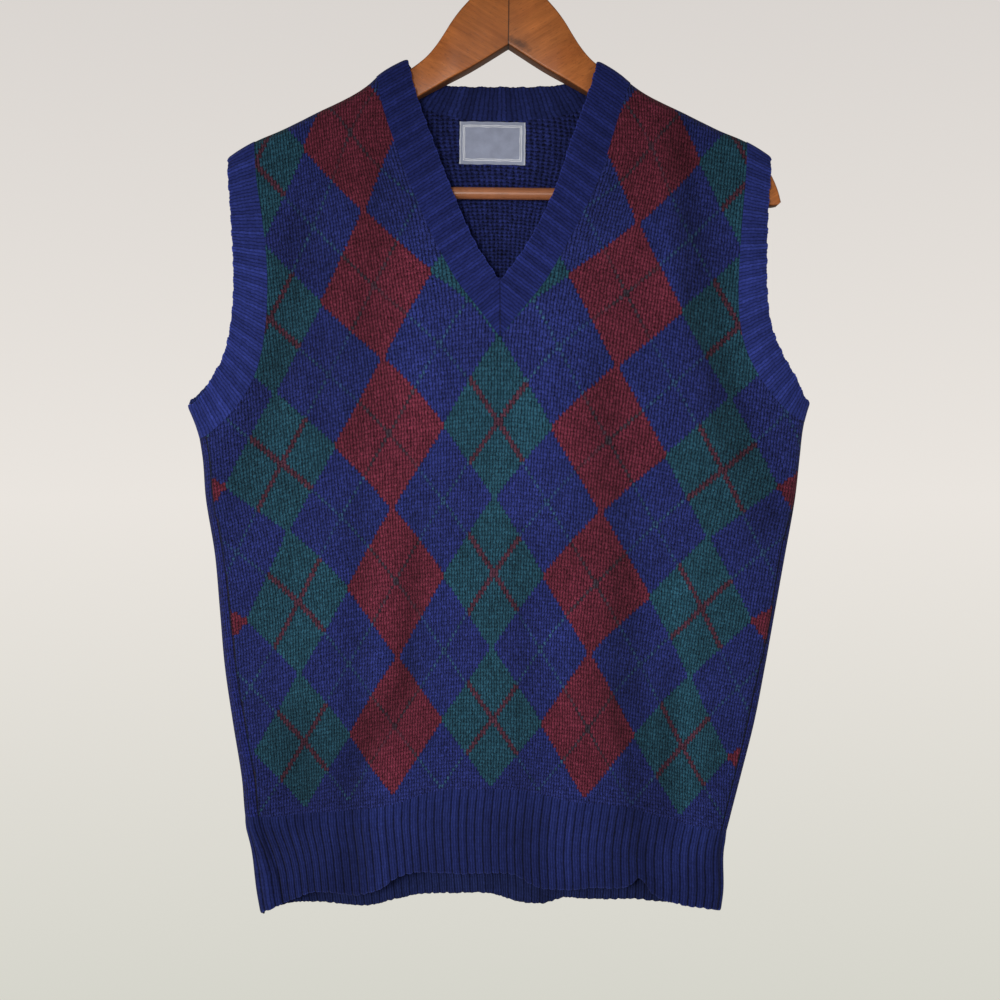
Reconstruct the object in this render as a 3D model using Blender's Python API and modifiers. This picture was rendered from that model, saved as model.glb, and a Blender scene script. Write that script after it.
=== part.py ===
"""Knitted V-neck sweater vest on a wooden hanger, in the pieces that a maker knits and links.

The frame: metres, +Z up, +X to the wearer's left, the front facing -Y.
The origin is the inside top of the hook's bend, where a rail carries the hanger.
The cloth is one surface, described flat and then rolled over the shoulders and the side seams.
Each knitted piece is a wall cut out of that surface, with its ribs raised on the outside.
"""

import math

import bmesh
import bpy
from mathutils import Vector

MM = 0.001

# ---------------------------------------------------------------- driving sizes (mm)

WALL = 2.3              # thickness of the knitted cloth
SEAM_GAP = 0.3          # between neighbouring pieces
FOLD_RADIUS = 9.6       # outside of the cloth, over the hanger and round the side seams
NECK_CENTRE = -6.0      # the vest hangs a little to the wearer's right of the hook

HEM_RIBS = 60           # on the front, and as many on the back
HEM_RIB_HEIGHT = 1.0
ARM_RIBS = 98           # round one armhole
NECK_SIDE_RIBS = 53     # from the point of the V to the shoulder, each side
NECK_BACK_RIBS = 33
BAND_RIB_HEIGHT = 0.7
MITRE_HEADING = 0.03    # shares of the neck seam at which the ribs' direction by the V is read
LEAST_HEADING = 0.01

# The side folds: height, wearer's right, wearer's left
SIDE_FOLDS = (
    (-330.0, -300.0, 285.0),
    (-380.0, -276.0, 261.0),
    (-415.6, -260.9, 245.8),
    (-433.6, -253.5, 241.3),
    (-456.4, -249.0, 238.6),
    (-490.7, -246.2, 234.7),
    (-536.4, -238.8, 226.6),
    (-582.2, -234.7, 218.4),
    (-627.9, -230.7, 210.2),
    (-673.6, -224.1, 201.3),
    (-719.3, -216.8, 189.8),
    (-753.6, -213.5, 181.0),
    (-776.5, -208.0, 175.6),
    (-810.8, -203.7, 175.1),
    (-828.7, -200.5, 172.7),
)

# The ridge of the shoulders: distance from the neck's centre, height
SHOULDER_RIDGE = (
    (0.0, -131.0),
    (70.0, -131.5),
    (77.6, -133.9),
    (89.8, -139.6),
    (98.0, -145.3),
    (106.1, -152.8),
    (114.3, -158.8),
    (122.5, -163.7),
    (130.6, -167.8),
    (147.0, -175.5),
    (163.3, -183.7),
    (179.6, -191.6),
    (196.0, -198.4),
    (208.0, -204.6),
    (220.5, -213.1),
    (232.0, -222.0),
)

# The seam of the neckband on the front: height, wearer's right, wearer's left
NECK_SEAM = (
    (-361.0, -6.0, -6.0),
    (-340.0, -21.5, 10.5),
    (-315.0, -41.0, 30.5),
    (-285.0, -57.6, 48.0),
    (-255.0, -71.3, 63.5),
    (-225.0, -83.3, 76.5),
    (-195.0, -94.3, 86.0),
    (-172.0, -101.5, 93.0),
)
NECK_SEAM_AT_RIDGE = (-107.0, 101.0)

# The free edge of the neckband on the front: height, wearer's right, wearer's left
NECK_EDGE = (
    (-314.0, -6.0, -6.0),
    (-283.0, -25.7, 16.0),
    (-240.0, -44.6, 37.4),
    (-200.0, -59.8, 50.8),
    (-160.0, -74.0, 65.5),
)
NECK_EDGE_AT_RIDGE = (-82.0, 74.0)

# The neckband on the back: depth of each curve at its middle, and how square its corners are
BACK_EDGE_LOW = -155.1
BACK_EDGE_POWER = 4.0
BACK_SEAM_LOW = -184.0
BACK_SEAM_POWER = 2.4
BACK_CURVE_STEPS = 24

# The seam of each armhole band: height, then across, from under the shoulder to near the side
ARM_SEAM_RIGHT = (
    (-232.7, -203.2),
    (-266.2, -199.4),
    (-298.0, -197.0),
    (-330.0, -196.0),
    (-356.0, -198.3),
    (-380.0, -203.5),
    (-400.0, -211.5),
    (-418.0, -223.0),
    (-432.0, -235.5),
    (-440.5, -245.0),
)
ARM_SEAM_LEFT = (
    (-230.3, 192.8),
    (-260.0, 190.8),
    (-290.0, 189.4),
    (-320.0, 189.3),
    (-346.0, 191.6),
    (-368.0, 196.6),
    (-388.0, 204.6),
    (-405.0, 214.8),
    (-418.5, 226.0),
    (-426.5, 236.0),
)
ARM_SEAM_AT_RIDGE = (-205.8, 194.5)
ARM_SEAM_AT_SIDE = (-443.4, -430.0)

# The free edge of each armhole band
ARM_EDGE_RIGHT = (
    (-240.0, -226.6),
    (-273.5, -224.3),
    (-307.8, -222.8),
    (-335.0, -223.6),
    (-360.0, -227.0),
    (-380.0, -233.2),
    (-397.0, -244.5),
    (-408.0, -254.0),
)
ARM_EDGE_LEFT = (
    (-236.0, 213.4),
    (-264.0, 211.8),
    (-292.0, 211.0),
    (-320.0, 211.2),
    (-350.0, 214.6),
    (-374.0, 224.2),
    (-394.0, 235.5),
    (-408.0, 242.0),
)
ARM_EDGE_AT_RIDGE = (-228.2, 215.1)
ARM_EDGE_AT_SIDE = (-415.6, -414.8)

# The heights at which the hem's table and the panels' widths are first matched
HEM_LEVEL = -750.0
HEM_FOOT = -828.0

# Where the hem rib starts: across, height
HEM_START = (
    (-213.5, -749.5),
    (-187.0, -748.7),
    (-161.0, -745.5),
    (-117.0, -742.2),
    (-91.0, -737.3),
    (-60.0, -727.5),
    (-17.0, -725.5),
    (14.0, -727.0),
    (50.0, -735.2),
    (94.0, -740.2),
    (127.0, -750.0),
    (160.0, -757.7),
    (181.0, -761.8),
)
FRONT_HEM_END = (
    (-200.5, -828.7),
    (-183.3, -823.0),
    (-167.8, -817.3),
    (-152.3, -812.6),
    (-140.0, -812.0),
    (-120.4, -814.9),
    (-100.8, -811.6),
    (-80.0, -803.5),
    (-43.0, -797.4),
    (-22.0, -796.9),
    (10.0, -798.5),
    (30.0, -807.6),
    (55.0, -809.0),
    (84.0, -803.0),
    (103.0, -800.5),
    (120.0, -814.5),
    (141.0, -821.4),
    (172.7, -827.9),
)
BACK_HEM_END = (
    (-200.5, -828.7),
    (-169.4, -822.4),
    (-120.4, -823.0),
    (-87.8, -817.5),
    (-30.6, -812.6),
    (-6.0, -815.4),
    (26.5, -820.0),
    (75.0, -818.6),
    (116.0, -820.4),
    (157.0, -825.5),
    (172.7, -827.9),
)

# How far the cloth stands forward or back of the fold's radius at mid width: height, front, back
BELLY = (
    (-130.0, 2.0, 0.4),
    (-200.0, 3.4, 0.8),
    (-330.0, 5.0, 1.4),
    (-500.0, 6.5, 2.2),
    (-700.0, 7.5, 2.8),
    (-830.0, 7.5, 2.8),
)

# Folds: top across, top height, foot across, foot height, half width, relief (out is positive)
FRONT_FOLDS = (
    (140.0, -195.0, 157.0, -330.0, 13.0, -3.6),
    (157.0, -330.0, 181.0, -425.0, 14.0, -4.2),
    (181.0, -425.0, 212.0, -505.0, 15.0, -3.2),
    (118.0, -205.0, 132.0, -330.0, 14.0, 1.6),
    (190.0, -260.0, 205.0, -400.0, 12.0, 1.6),
    (-165.0, -270.0, -190.0, -390.0, 15.0, -2.6),
    (-190.0, -390.0, -222.0, -492.0, 15.0, -2.4),
    (-142.0, -300.0, -158.0, -470.0, 17.0, 1.8),
    (-104.0, -235.0, -122.0, -435.0, 13.0, -1.8),
    (-76.0, -300.0, -70.0, -430.0, 22.0, 2.0),
    (25.0, -345.0, 12.0, -500.0, 24.0, 2.0),
    (-74.0, -520.0, -82.0, -640.0, 8.0, -2.6),
    (-83.0, -640.0, -124.0, -705.0, 9.0, -2.8),
    (-102.0, -560.0, -104.0, -650.0, 14.0, 2.0),
    (-92.0, -700.0, -98.0, -800.0, 15.0, 2.2),
    (-127.0, -700.0, -129.0, -820.0, 11.0, -2.6),
    (-168.0, -675.0, -170.0, -735.0, 17.0, -2.6),
    (80.0, -405.0, 94.0, -560.0, 14.0, -2.4),
    (94.0, -560.0, 94.0, -665.0, 12.0, -3.0),
    (97.0, -665.0, 112.0, -820.0, 11.0, -3.4),
    (131.0, -640.0, 127.0, -745.0, 9.0, -2.8),
    (114.0, -655.0, 118.0, -750.0, 9.0, 1.8),
    (144.0, -570.0, 155.0, -770.0, 13.0, 2.8),
    (11.0, -520.0, 15.0, -820.0, 12.0, -2.0),
    (48.0, -600.0, 58.0, -790.0, 18.0, 1.8),
)
BACK_FOLDS = (
    (-150.0, -230.0, -196.0, -440.0, 15.0, -2.6),
    (146.0, -215.0, 186.0, -430.0, 15.0, -2.8),
    (-70.0, -250.0, -96.0, -470.0, 20.0, 1.6),
    (60.0, -240.0, 84.0, -500.0, 22.0, 1.6),
    (-8.0, -300.0, -14.0, -560.0, 18.0, -1.6),
    (-112.0, -520.0, -122.0, -800.0, 13.0, -2.4),
    (-60.0, -580.0, -58.0, -800.0, 16.0, 1.8),
    (24.0, -560.0, 30.0, -820.0, 14.0, -2.2),
    (92.0, -540.0, 104.0, -800.0, 14.0, -2.4),
    (140.0, -610.0, 146.0, -790.0, 13.0, 2.0),
)
FOLD_FADE = 35.0        # length over which a fold dies away at each end
FOLD_CUT = 0.4          # how far a fold may bring the cloth in past the fold radius
FOLD_SOFTENING = 1.0

# The panels' meshes: shares of the way from the shoulder to the underarm, and from there to the hem
UPPER_ROWS = (
    0.0, 0.018, 0.036, 0.058, 0.1, 0.18, 0.28, 0.38, 0.47, 0.56,
    0.63, 0.69, 0.75, 0.81, 0.87, 0.92, 0.96, 1.0,
)
LOWER_ROWS = (0.11, 0.23, 0.36, 0.49, 0.62, 0.75, 0.88, 1.0)
# Shares of the way from the centre to the armhole or side seam
PANEL_COLUMNS = (
    0.0, 0.12, 0.24, 0.35, 0.42, 0.46, 0.49, 0.52, 0.62, 0.72, 0.81, 0.89, 0.935, 0.97, 1.0,
)
LEVEL_POWER = 1.6       # how far the rows level out as they near the side seam
# Shares of the back neck seam from its middle to its corner, for the first of those columns
BACK_NECK_COLUMNS = (0.0, 0.23, 0.47, 0.7, 0.865, 0.91, 0.955, 1.0)
HEM_ROWS = (0.0, 0.5, 1.0)

# The label, and its place inside the back neck
LABEL_WIDTH = 54.0
LABEL_HEIGHT = 35.0
LABEL_THICKNESS = 0.6
LABEL_CENTRE = (-12.2, -200.7)
LABEL_TURN = math.radians(-1.0)
LABEL_STEPS = (6, 3)

# The hanger, in its own upright frame before it tips
HANGER_TIP = math.radians(0.6)
HANGER_THICKNESS = 12.0
HANGER_ROUNDING = 3.6
HANGER_ROUNDING_STEPS = 3
GLUE_GAP = 0.3          # between the two arms
SAW_BLOCK = (260.0, 40.0, 260.0)
SAW_BLOCK_HEIGHT = -160.0
# The wood's upper outline from its middle to the arm's end: across, height
HANGER_TOP = (
    (0.0, -64.5),
    (12.0, -65.6),
    (21.0, -71.0),
    (29.4, -84.1),
    (39.2, -93.9),
    (46.1, -103.7),
    (52.3, -113.5),
    (58.8, -123.3),
    (67.0, -133.0),
    (77.6, -140.8),
    (90.0, -148.0),
    (106.0, -158.7),
    (122.0, -168.1),
    (139.0, -175.8),
    (163.0, -187.6),
    (186.0, -198.1),
    (199.0, -205.2),
)
HANGER_END = (
    (208.0, -214.2),
    (215.0, -226.0),
    (220.0, -239.0),
    (222.0, -250.0),
    (218.5, -255.0),
    (211.0, -252.0),
)
HANGER_NOTCH = -119.2   # the underside at the middle, where the two arms meet
HANGER_LOWER_RUN = 200.0
HANGER_LOWER_DROP = 119.2

BAR_HEIGHT = -242.1
BAR_RADIUS = 4.9
BAR_SHOULDER = 196.5    # half the length of the full round
BAR_TENON_RADIUS = 3.2
BAR_TENON_END = 212.0   # half the whole length
BAR_SIDES = 20
BAR_SOCKET_LENGTH = 40.0

WIRE_RADIUS = 1.9
BEND_RADIUS = 20.0      # inside the bend, which rests on the rail
BEND_START = math.radians(-25.0)
BEND_END = math.radians(232.0)
BEND_STEPS = 16
SWEEP_FOOT = -62.0      # where the curve back from the bend meets the straight shank
SWEEP_STEPS = 6
SHANK_FOOT = -90.0
HOOK_BORE_LENGTH = 60.0
FIT = 0.35              # clearance of the hook and the bar in the wood

SHARP_ANGLE = math.radians(40.0)
COLOURS = {
    "navy knit": ((0.030, 0.036, 0.150), 0.9, 0.0),
    "navy rib": ((0.022, 0.027, 0.125), 0.9, 0.0),
    "woven label": ((0.30, 0.33, 0.42), 0.7, 0.0),
    "varnished wood": ((0.33, 0.12, 0.045), 0.35, 0.0),
    "steel wire": ((0.60, 0.60, 0.60), 0.3, 1.0),
}

FRONT = -1
BACK = 1
RIGHT = -1              # the wearer's right, at -X
LEFT = 1


HEADING_STEP = 0.002    # share of a path's length over which its direction is read
NORMAL_STEP = 0.4 * MM


# ---------------------------------------------------------------- smooth tables

def smooth(knots, values, at):
    """The value at one place of a smooth curve through the knots, straight beyond its ends."""
    last = len(knots) - 1
    slopes = [(values[i + 1] - values[i]) / (knots[i + 1] - knots[i]) for i in range(last)]
    if at <= knots[0]:
        return values[0] + slopes[0] * (at - knots[0])
    if at >= knots[last]:
        return values[last] + slopes[-1] * (at - knots[last])
    i = max(k for k in range(last) if knots[k] <= at)
    gap = knots[i + 1] - knots[i]
    start = slopes[i] if i == 0 else (slopes[i - 1] + slopes[i]) / 2
    end = slopes[i] if i == last - 1 else (slopes[i] + slopes[i + 1]) / 2
    t = (at - knots[i]) / gap
    return (
        values[i] * (2 * t ** 3 - 3 * t ** 2 + 1)
        + values[i + 1] * (3 * t ** 2 - 2 * t ** 3)
        + start * gap * (t ** 3 - 2 * t ** 2 + t)
        + end * gap * (t ** 3 - t ** 2)
    )


class Table:
    """Rows of a named table as smooth functions of the first column, in metres."""

    def __init__(self, rows):
        rows = sorted(rows)
        self.knots = [row[0] * MM for row in rows]
        self.columns = [[row[c] * MM for row in rows] for c in range(1, len(rows[0]))]

    def at(self, place, column=0):
        return smooth(self.knots, self.columns[column], place)


def straight(knots, values, at):
    """The value at one place of straight runs between the knots."""
    last = len(knots) - 1
    i = min(max([k for k in range(last) if knots[k] <= at], default=0), last - 1)
    return values[i] + (values[i + 1] - values[i]) * (at - knots[i]) / (knots[i + 1] - knots[i])


class Path:
    """A path through points of the flat cloth, read by its share of the whole length."""

    def __init__(self, points, rule=smooth):
        self.points = points
        self.rule = rule
        self.run = [0.0]
        for a, b in zip(points, points[1:]):
            self.run.append(self.run[-1] + math.hypot(b[0] - a[0], b[1] - a[1]))
        self.length = self.run[-1]

    def at(self, share):
        place = share * self.length
        return tuple(self.rule(self.run, [p[axis] for p in self.points], place) for axis in (0, 1))

    def share(self, index):
        return self.run[index] / self.length

    def stepped(self, shares):
        """The same path in straight runs between the given shares of its length."""
        return Path([self.at(share) for share in shares], straight)

    def heading(self, share):
        """The direction of the path, as a unit step."""
        a = self.at(share - HEADING_STEP)
        b = self.at(share + HEADING_STEP)
        size = math.hypot(b[0] - a[0], b[1] - a[1])
        return (b[0] - a[0]) / size, (b[1] - a[1]) / size


SIDES = Table(SIDE_FOLDS)
RIDGE = Table(SHOULDER_RIDGE)
BELLIES = Table(BELLY)
HEM_TOP = Table(HEM_START)
HEM_ENDS = {FRONT: Table(FRONT_HEM_END), BACK: Table(BACK_HEM_END)}
FOLDS = {FRONT: FRONT_FOLDS, BACK: BACK_FOLDS}


# ---------------------------------------------------------------- the cloth as one surface

R = FOLD_RADIUS * MM
LEAST_DEPTH = R - FOLD_CUT * MM      # which keeps the cloth clear of the hanger
QUARTER = R * math.pi / 2
SPARE = QUARTER - R     # cloth that a fold takes up beyond the width it shows
CENTRE = NECK_CENTRE * MM


def roll(run):
    """For cloth that runs so far in from a fold: how far in it lies, and its share of full depth."""
    if run >= QUARTER:
        return run - SPARE, 1.0
    return R * (1 - math.cos(run / R)), math.sin(run / R)


def unroll(inset):
    """The run of cloth from a fold to a point that lies so far in from it."""
    if inset >= R:
        return inset + SPARE
    return R * math.acos(1 - max(inset, 0.0) / R)


def ridge_height(x):
    return RIDGE.at(abs(x - CENTRE))


def side_fold(side, z):
    return SIDES.at(z, 0 if side == RIGHT else 1)


def flat_across(side, x, z):
    """Across the flat cloth, for a point seen at x and z on one side of the vest."""
    fold = side_fold(side, z)
    return fold + side * SPARE - side * unroll(side * (fold - x))


def flat_up(x, z):
    """Up the flat cloth, for a point seen at x and z."""
    ridge = ridge_height(x)
    return ridge + SPARE - unroll(ridge - z)


def fold_relief(face, x, z):
    """How far the folds lift the cloth at x and z."""
    total = 0.0
    for x0, z0, x1, z1, half_width, relief in FOLDS[face]:
        run_x, run_z = (x1 - x0) * MM, (z1 - z0) * MM
        length = math.hypot(run_x, run_z)
        along = ((x - x0 * MM) * run_x + (z - z0 * MM) * run_z) / length
        off = ((x - x0 * MM) * run_z - (z - z0 * MM) * run_x) / length
        past = max(0.0, -along, along - length) / (FOLD_FADE * MM)
        total += relief * MM * math.exp(-(off / (half_width * MM)) ** 2 - (1.8 * past) ** 2)
    return total


def depth(face, x, z):
    """Half the thickness of the hanging vest at x and z."""
    right, left = side_fold(RIGHT, z), side_fold(LEFT, z)
    middle, half = (right + left) / 2, (left - right) / 2
    share = max(0.0, 1 - ((x - middle) / half) ** 2)
    belly = BELLIES.at(z, 0 if face == FRONT else 1)
    over = R + belly * share + fold_relief(face, x, z) * min(1.0, 3 * share) - LEAST_DEPTH
    return LEAST_DEPTH + (over + math.hypot(over, FOLD_SOFTENING * MM)) / 2


def cloth_point(face, u, v):
    """The outside of the cloth, at u across and v up the flat cloth."""
    right, left = side_fold(RIGHT, v), side_fold(LEFT, v)
    run_right, run_left = u - right + SPARE, left + SPARE - u
    if run_right < run_left:
        inset, side_share = roll(run_right)
        x = right + inset
    else:
        inset, side_share = roll(run_left)
        x = left - inset
    ridge = ridge_height(x)
    inset, top_share = roll(ridge + SPARE - v)
    z = ridge - inset
    return Vector((x, face * depth(face, x, z) * side_share * top_share, z))


def cloth_normal(face, u, v):
    """Outwards from the cloth."""
    across = cloth_point(face, u + NORMAL_STEP, v) - cloth_point(face, u - NORMAL_STEP, v)
    up = cloth_point(face, u, v + NORMAL_STEP) - cloth_point(face, u, v - NORMAL_STEP)
    return across.cross(up).normalized() * -face


# ---------------------------------------------------------------- edges of the pieces

def seen_path(side, points):
    """A path on the flat cloth through points given as they are seen."""
    return Path([(flat_across(side, x, z), flat_up(x, z)) for x, z in points])


def neck_path(side, rows, at_ridge):
    """From the point of the V up to the ridge of the shoulder."""
    column = 1 if side == RIGHT else 2
    points = [(row[column] * MM, row[0] * MM) for row in rows]
    x = at_ridge[0 if side == RIGHT else 1] * MM
    return seen_path(side, points + [(x, ridge_height(x))])


def back_neck_path(low, power, at_ridge):
    """Across the back neck, from the ridge on the wearer's right to that on the left."""
    right, left = (x * MM for x in at_ridge)
    points = []
    for i in range(BACK_CURVE_STEPS + 1):
        swing = -math.cos(math.pi * i / BACK_CURVE_STEPS)
        end = left if swing > 0 else right
        x = CENTRE + abs(swing) * (end - CENTRE)
        top = ridge_height(end)
        points.append((x, low * MM + (top - low * MM) * abs(swing) ** power))
    return Path([(x, flat_up(x, z)) for x, z in points])


def arm_path(side, rows, at_ridge, at_side):
    """From the ridge of the shoulder down the front of an armhole to the side fold."""
    x = at_ridge[0 if side == RIGHT else 1] * MM
    z = at_side[0 if side == RIGHT else 1] * MM
    points = [(x, ridge_height(x))]
    points += [(row[1] * MM, row[0] * MM) for row in rows]
    points.append((side_fold(side, z), z))
    return seen_path(side, points)


# A seam runs straight between the mesh lines of the panel beside it, so both pieces share one line.
NECK_ROWS = tuple(1 - share for share in reversed(UPPER_ROWS))
BACK_NECK_STEPS = sorted({0.5 + side * share / 2 for side in (-1, 1) for share in BACK_NECK_COLUMNS})
NECK_SEAMS = {
    side: neck_path(side, NECK_SEAM, NECK_SEAM_AT_RIDGE).stepped(NECK_ROWS) for side in (RIGHT, LEFT)
}
NECK_EDGES = {side: neck_path(side, NECK_EDGE, NECK_EDGE_AT_RIDGE) for side in (RIGHT, LEFT)}
BACK_SEAM = back_neck_path(BACK_SEAM_LOW, BACK_SEAM_POWER, NECK_SEAM_AT_RIDGE).stepped(BACK_NECK_STEPS)
BACK_EDGE = back_neck_path(BACK_EDGE_LOW, BACK_EDGE_POWER, NECK_EDGE_AT_RIDGE)
ARM_SEAMS = {
    RIGHT: arm_path(RIGHT, ARM_SEAM_RIGHT, ARM_SEAM_AT_RIDGE, ARM_SEAM_AT_SIDE).stepped(UPPER_ROWS),
    LEFT: arm_path(LEFT, ARM_SEAM_LEFT, ARM_SEAM_AT_RIDGE, ARM_SEAM_AT_SIDE).stepped(UPPER_ROWS),
}
ARM_EDGES = {
    RIGHT: arm_path(RIGHT, ARM_EDGE_RIGHT, ARM_EDGE_AT_RIDGE, ARM_EDGE_AT_SIDE),
    LEFT: arm_path(LEFT, ARM_EDGE_LEFT, ARM_EDGE_AT_RIDGE, ARM_EDGE_AT_SIDE),
}


def mix(a, b, share):
    return a + (b - a) * share


def side_seam(side, v):
    """The side seam on the flat cloth, half a seam gap in from the fold."""
    return side_fold(side, v) + side * (SPARE - SEAM_GAP * MM / 2), v


def hem_seam_knots():
    """Where the columns of a panel meet its hem rib, from the wearer's right to the left."""
    knots = set()
    for side in (RIGHT, LEFT):
        end = side_fold(side, HEM_LEVEL * MM)
        for _ in range(6):
            end = side_seam(side, HEM_TOP.at(end))[0]
        knots.update(mix(CENTRE, end, share) for share in PANEL_COLUMNS)
    return sorted(knots)


def hem_seam(u):
    """The height of the seam of the hem rib, straight between the columns of the panel."""
    return straight(HEM_KNOTS, [HEM_TOP.at(knot) for knot in HEM_KNOTS], u)


def drawn_in(path, share, towards):
    """A point of a seam, moved square to it by half the seam gap."""
    u, v = path.at(share)
    run_u, run_v = path.heading(share)
    half = towards * SEAM_GAP * MM / 2
    return u + run_v * half, v - run_u * half


HEM_KNOTS = hem_seam_knots()


# ---------------------------------------------------------------- walls from sheets of points

def material(name):
    """A plain finish for one kind of piece."""
    colour, roughness, metallic = COLOURS[name]
    found = bpy.data.materials.get(name)
    if found:
        return found
    made = bpy.data.materials.new(name)
    made.use_nodes = True
    shader = made.node_tree.nodes["Principled BSDF"]
    shader.inputs["Base Color"].default_value = (*colour, 1.0)
    shader.inputs["Roughness"].default_value = roughness
    shader.inputs["Metallic"].default_value = metallic
    return made


def add_object(name, mesh, finish):
    """A smooth-shaded object in the vest's collection."""
    mesh.shade_smooth()
    mesh.set_sharp_from_angle(angle=SHARP_ANGLE)
    made = bpy.data.objects.new(name, mesh)
    made.data.materials.append(material(finish))
    VEST.objects.link(made)
    return made


def knit_wall(name, sheets, finish):
    """One closed wall over sheets of (face, u, v, rise) points, which join where their points meet."""
    places = {}
    outside, inside, faces = [], [], []

    def index(point):
        face, u, v, rise = point
        key = (face, round(u, 6), round(v, 6))
        if key not in places:
            places[key] = len(outside)
            at, out = cloth_point(face, u, v), cloth_normal(face, u, v)
            outside.append(at + out * rise * MM)
            inside.append(at - out * WALL * MM)
        return places[key]

    for sheet, closed in sheets:
        count = len(sheet)
        grid = [[index(point) for point in column] for column in sheet]
        for i in range(count if closed else count - 1):
            near, far = grid[i], grid[(i + 1) % count]
            for j in range(len(near) - 1):
                faces.append((near[j], far[j], far[j + 1], near[j + 1]))
    return close_wall(name, outside, inside, faces, finish)


def close_wall(name, outside, inside, faces, finish):
    """Join an outer and an inner sheet along their edges into one body."""
    offset = len(outside)
    edges = {}
    for face in faces:
        for a, b in zip(face, face[1:] + face[:1]):
            edges.setdefault((min(a, b), max(a, b)), []).append((a, b))
    rims = [uses[0] for uses in edges.values() if len(uses) == 1]
    all_faces = list(faces)
    all_faces += [tuple(offset + i for i in reversed(face)) for face in faces]
    all_faces += [(b, a, offset + a, offset + b) for a, b in rims]
    mesh = bpy.data.meshes.new(name)
    mesh.from_pydata([*outside, *inside], [], all_faces)
    work = bmesh.new()
    work.from_mesh(mesh)
    bmesh.ops.recalc_face_normals(work, faces=work.faces)
    if work.calc_volume(signed=True) < 0:
        bmesh.ops.reverse_faces(work, faces=work.faces)
    work.to_mesh(mesh)
    work.free()
    return add_object(name, mesh, finish)


# ---------------------------------------------------------------- the panels

def outer_edge(side):
    """Down the armhole seam and the side seam, from the shoulder to the hem rib."""
    arm = ARM_SEAMS[side]
    edge = [drawn_in(arm, arm.share(row), side) for row in range(len(UPPER_ROWS))]
    edge[0] = on_ridge(edge[0][0])
    edge[-1] = side_seam(side, edge[-1][1])
    foot = hem_seam(HEM_KNOTS[0 if side == RIGHT else -1]) + SEAM_GAP * MM / 2
    top = edge[-1][1]
    return edge + [side_seam(side, mix(top, foot, share)) for share in LOWER_ROWS]


def on_ridge(u):
    """A point of the shoulder seam."""
    return u, ridge_height(u) + SPARE - SEAM_GAP * MM / 2


def shares_down(edge):
    """How far down an edge each of its points lies, as a share of its length."""
    return [Path(edge).share(row) for row in range(len(edge))]


def front_inner_edge(side):
    """Down the neck seam and the centre line."""
    neck, last = NECK_SEAMS[side], len(UPPER_ROWS) - 1
    edge = [drawn_in(neck, neck.share(last - row), side) for row in range(last + 1)]
    edge[0] = on_ridge(edge[0][0])
    top = NECK_SEAMS[side].at(0.0)[1] - SEAM_GAP * MM
    edge[-1] = (CENTRE, top)
    foot = hem_seam(CENTRE) + SEAM_GAP * MM / 2
    return edge + [(CENTRE, mix(top, foot, share)) for share in LOWER_ROWS]


def back_inner_edge():
    """Down the centre line from the middle of the back neck, level with the two sides."""
    top = drawn_in(BACK_SEAM, 0.5, 1)[1]
    foot = hem_seam(CENTRE) + SEAM_GAP * MM / 2
    shares = zip(*(shares_down(outer_edge(side)) for side in (RIGHT, LEFT)))
    return [(CENTRE, mix(top, foot, (right + left) / 2)) for right, left in shares]


def back_top_edge(side, outer):
    """Along the back neck seam from the middle, then along the shoulder."""
    corner = len(BACK_NECK_COLUMNS) - 1
    edge = []
    for column in range(corner + 1):
        edge.append(drawn_in(BACK_SEAM, BACK_SEAM.share(corner + side * column), 1))
    edge[0] = (CENTRE, edge[0][1])
    edge[-1] = on_ridge(edge[-1][0])
    start = PANEL_COLUMNS[corner]
    for across in PANEL_COLUMNS[corner + 1:]:
        edge.append(on_ridge(mix(edge[corner][0], outer[0][0], (across - start) / (1 - start))))
    return edge


def half_panel(face, side):
    """Half a panel as a sheet, filled between its four edges."""
    outer = outer_edge(side)
    down = shares_down(outer)
    if face == FRONT:
        inner = front_inner_edge(side)
        top = [on_ridge(mix(inner[0][0], outer[0][0], across)) for across in PANEL_COLUMNS]
    else:
        inner = back_inner_edge()
        top = back_top_edge(side, outer)
    columns = [[(face, *point, 0.0) for point in inner]]
    for across, head in zip(PANEL_COLUMNS[1:], top[1:]):
        foot_u = mix(inner[-1][0], outer[-1][0], across)
        foot = (foot_u, hem_seam(foot_u) + SEAM_GAP * MM / 2)
        level = 1 - (1 - across) ** LEVEL_POWER
        head_off_u = head[0] - mix(inner[0][0], outer[0][0], across)
        head_off_v = head[1] - mix(inner[0][1], outer[0][1], level)
        foot_off_v = foot[1] - mix(inner[-1][1], outer[-1][1], level)
        column = []
        for row, share in enumerate(down):
            u = mix(inner[row][0], outer[row][0], across) + head_off_u * (1 - share) ** 2
            v = mix(inner[row][1], outer[row][1], level)
            v += head_off_v * (1 - share) ** 2 + foot_off_v * share ** 2
            column.append((face, u, v, 0.0))
        columns.append(column)
    return columns


def add_panel(name, face):
    """The front or the back: two halves that share the centre line below the neck."""
    sheets = [(half_panel(face, side), False) for side in (RIGHT, LEFT)]
    return knit_wall(name, sheets, "navy knit")


# ---------------------------------------------------------------- the ribs

def rib_rise(step, height):
    """Every other column stands proud, which makes the ribs."""
    return height if step % 2 else 0.0


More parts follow.
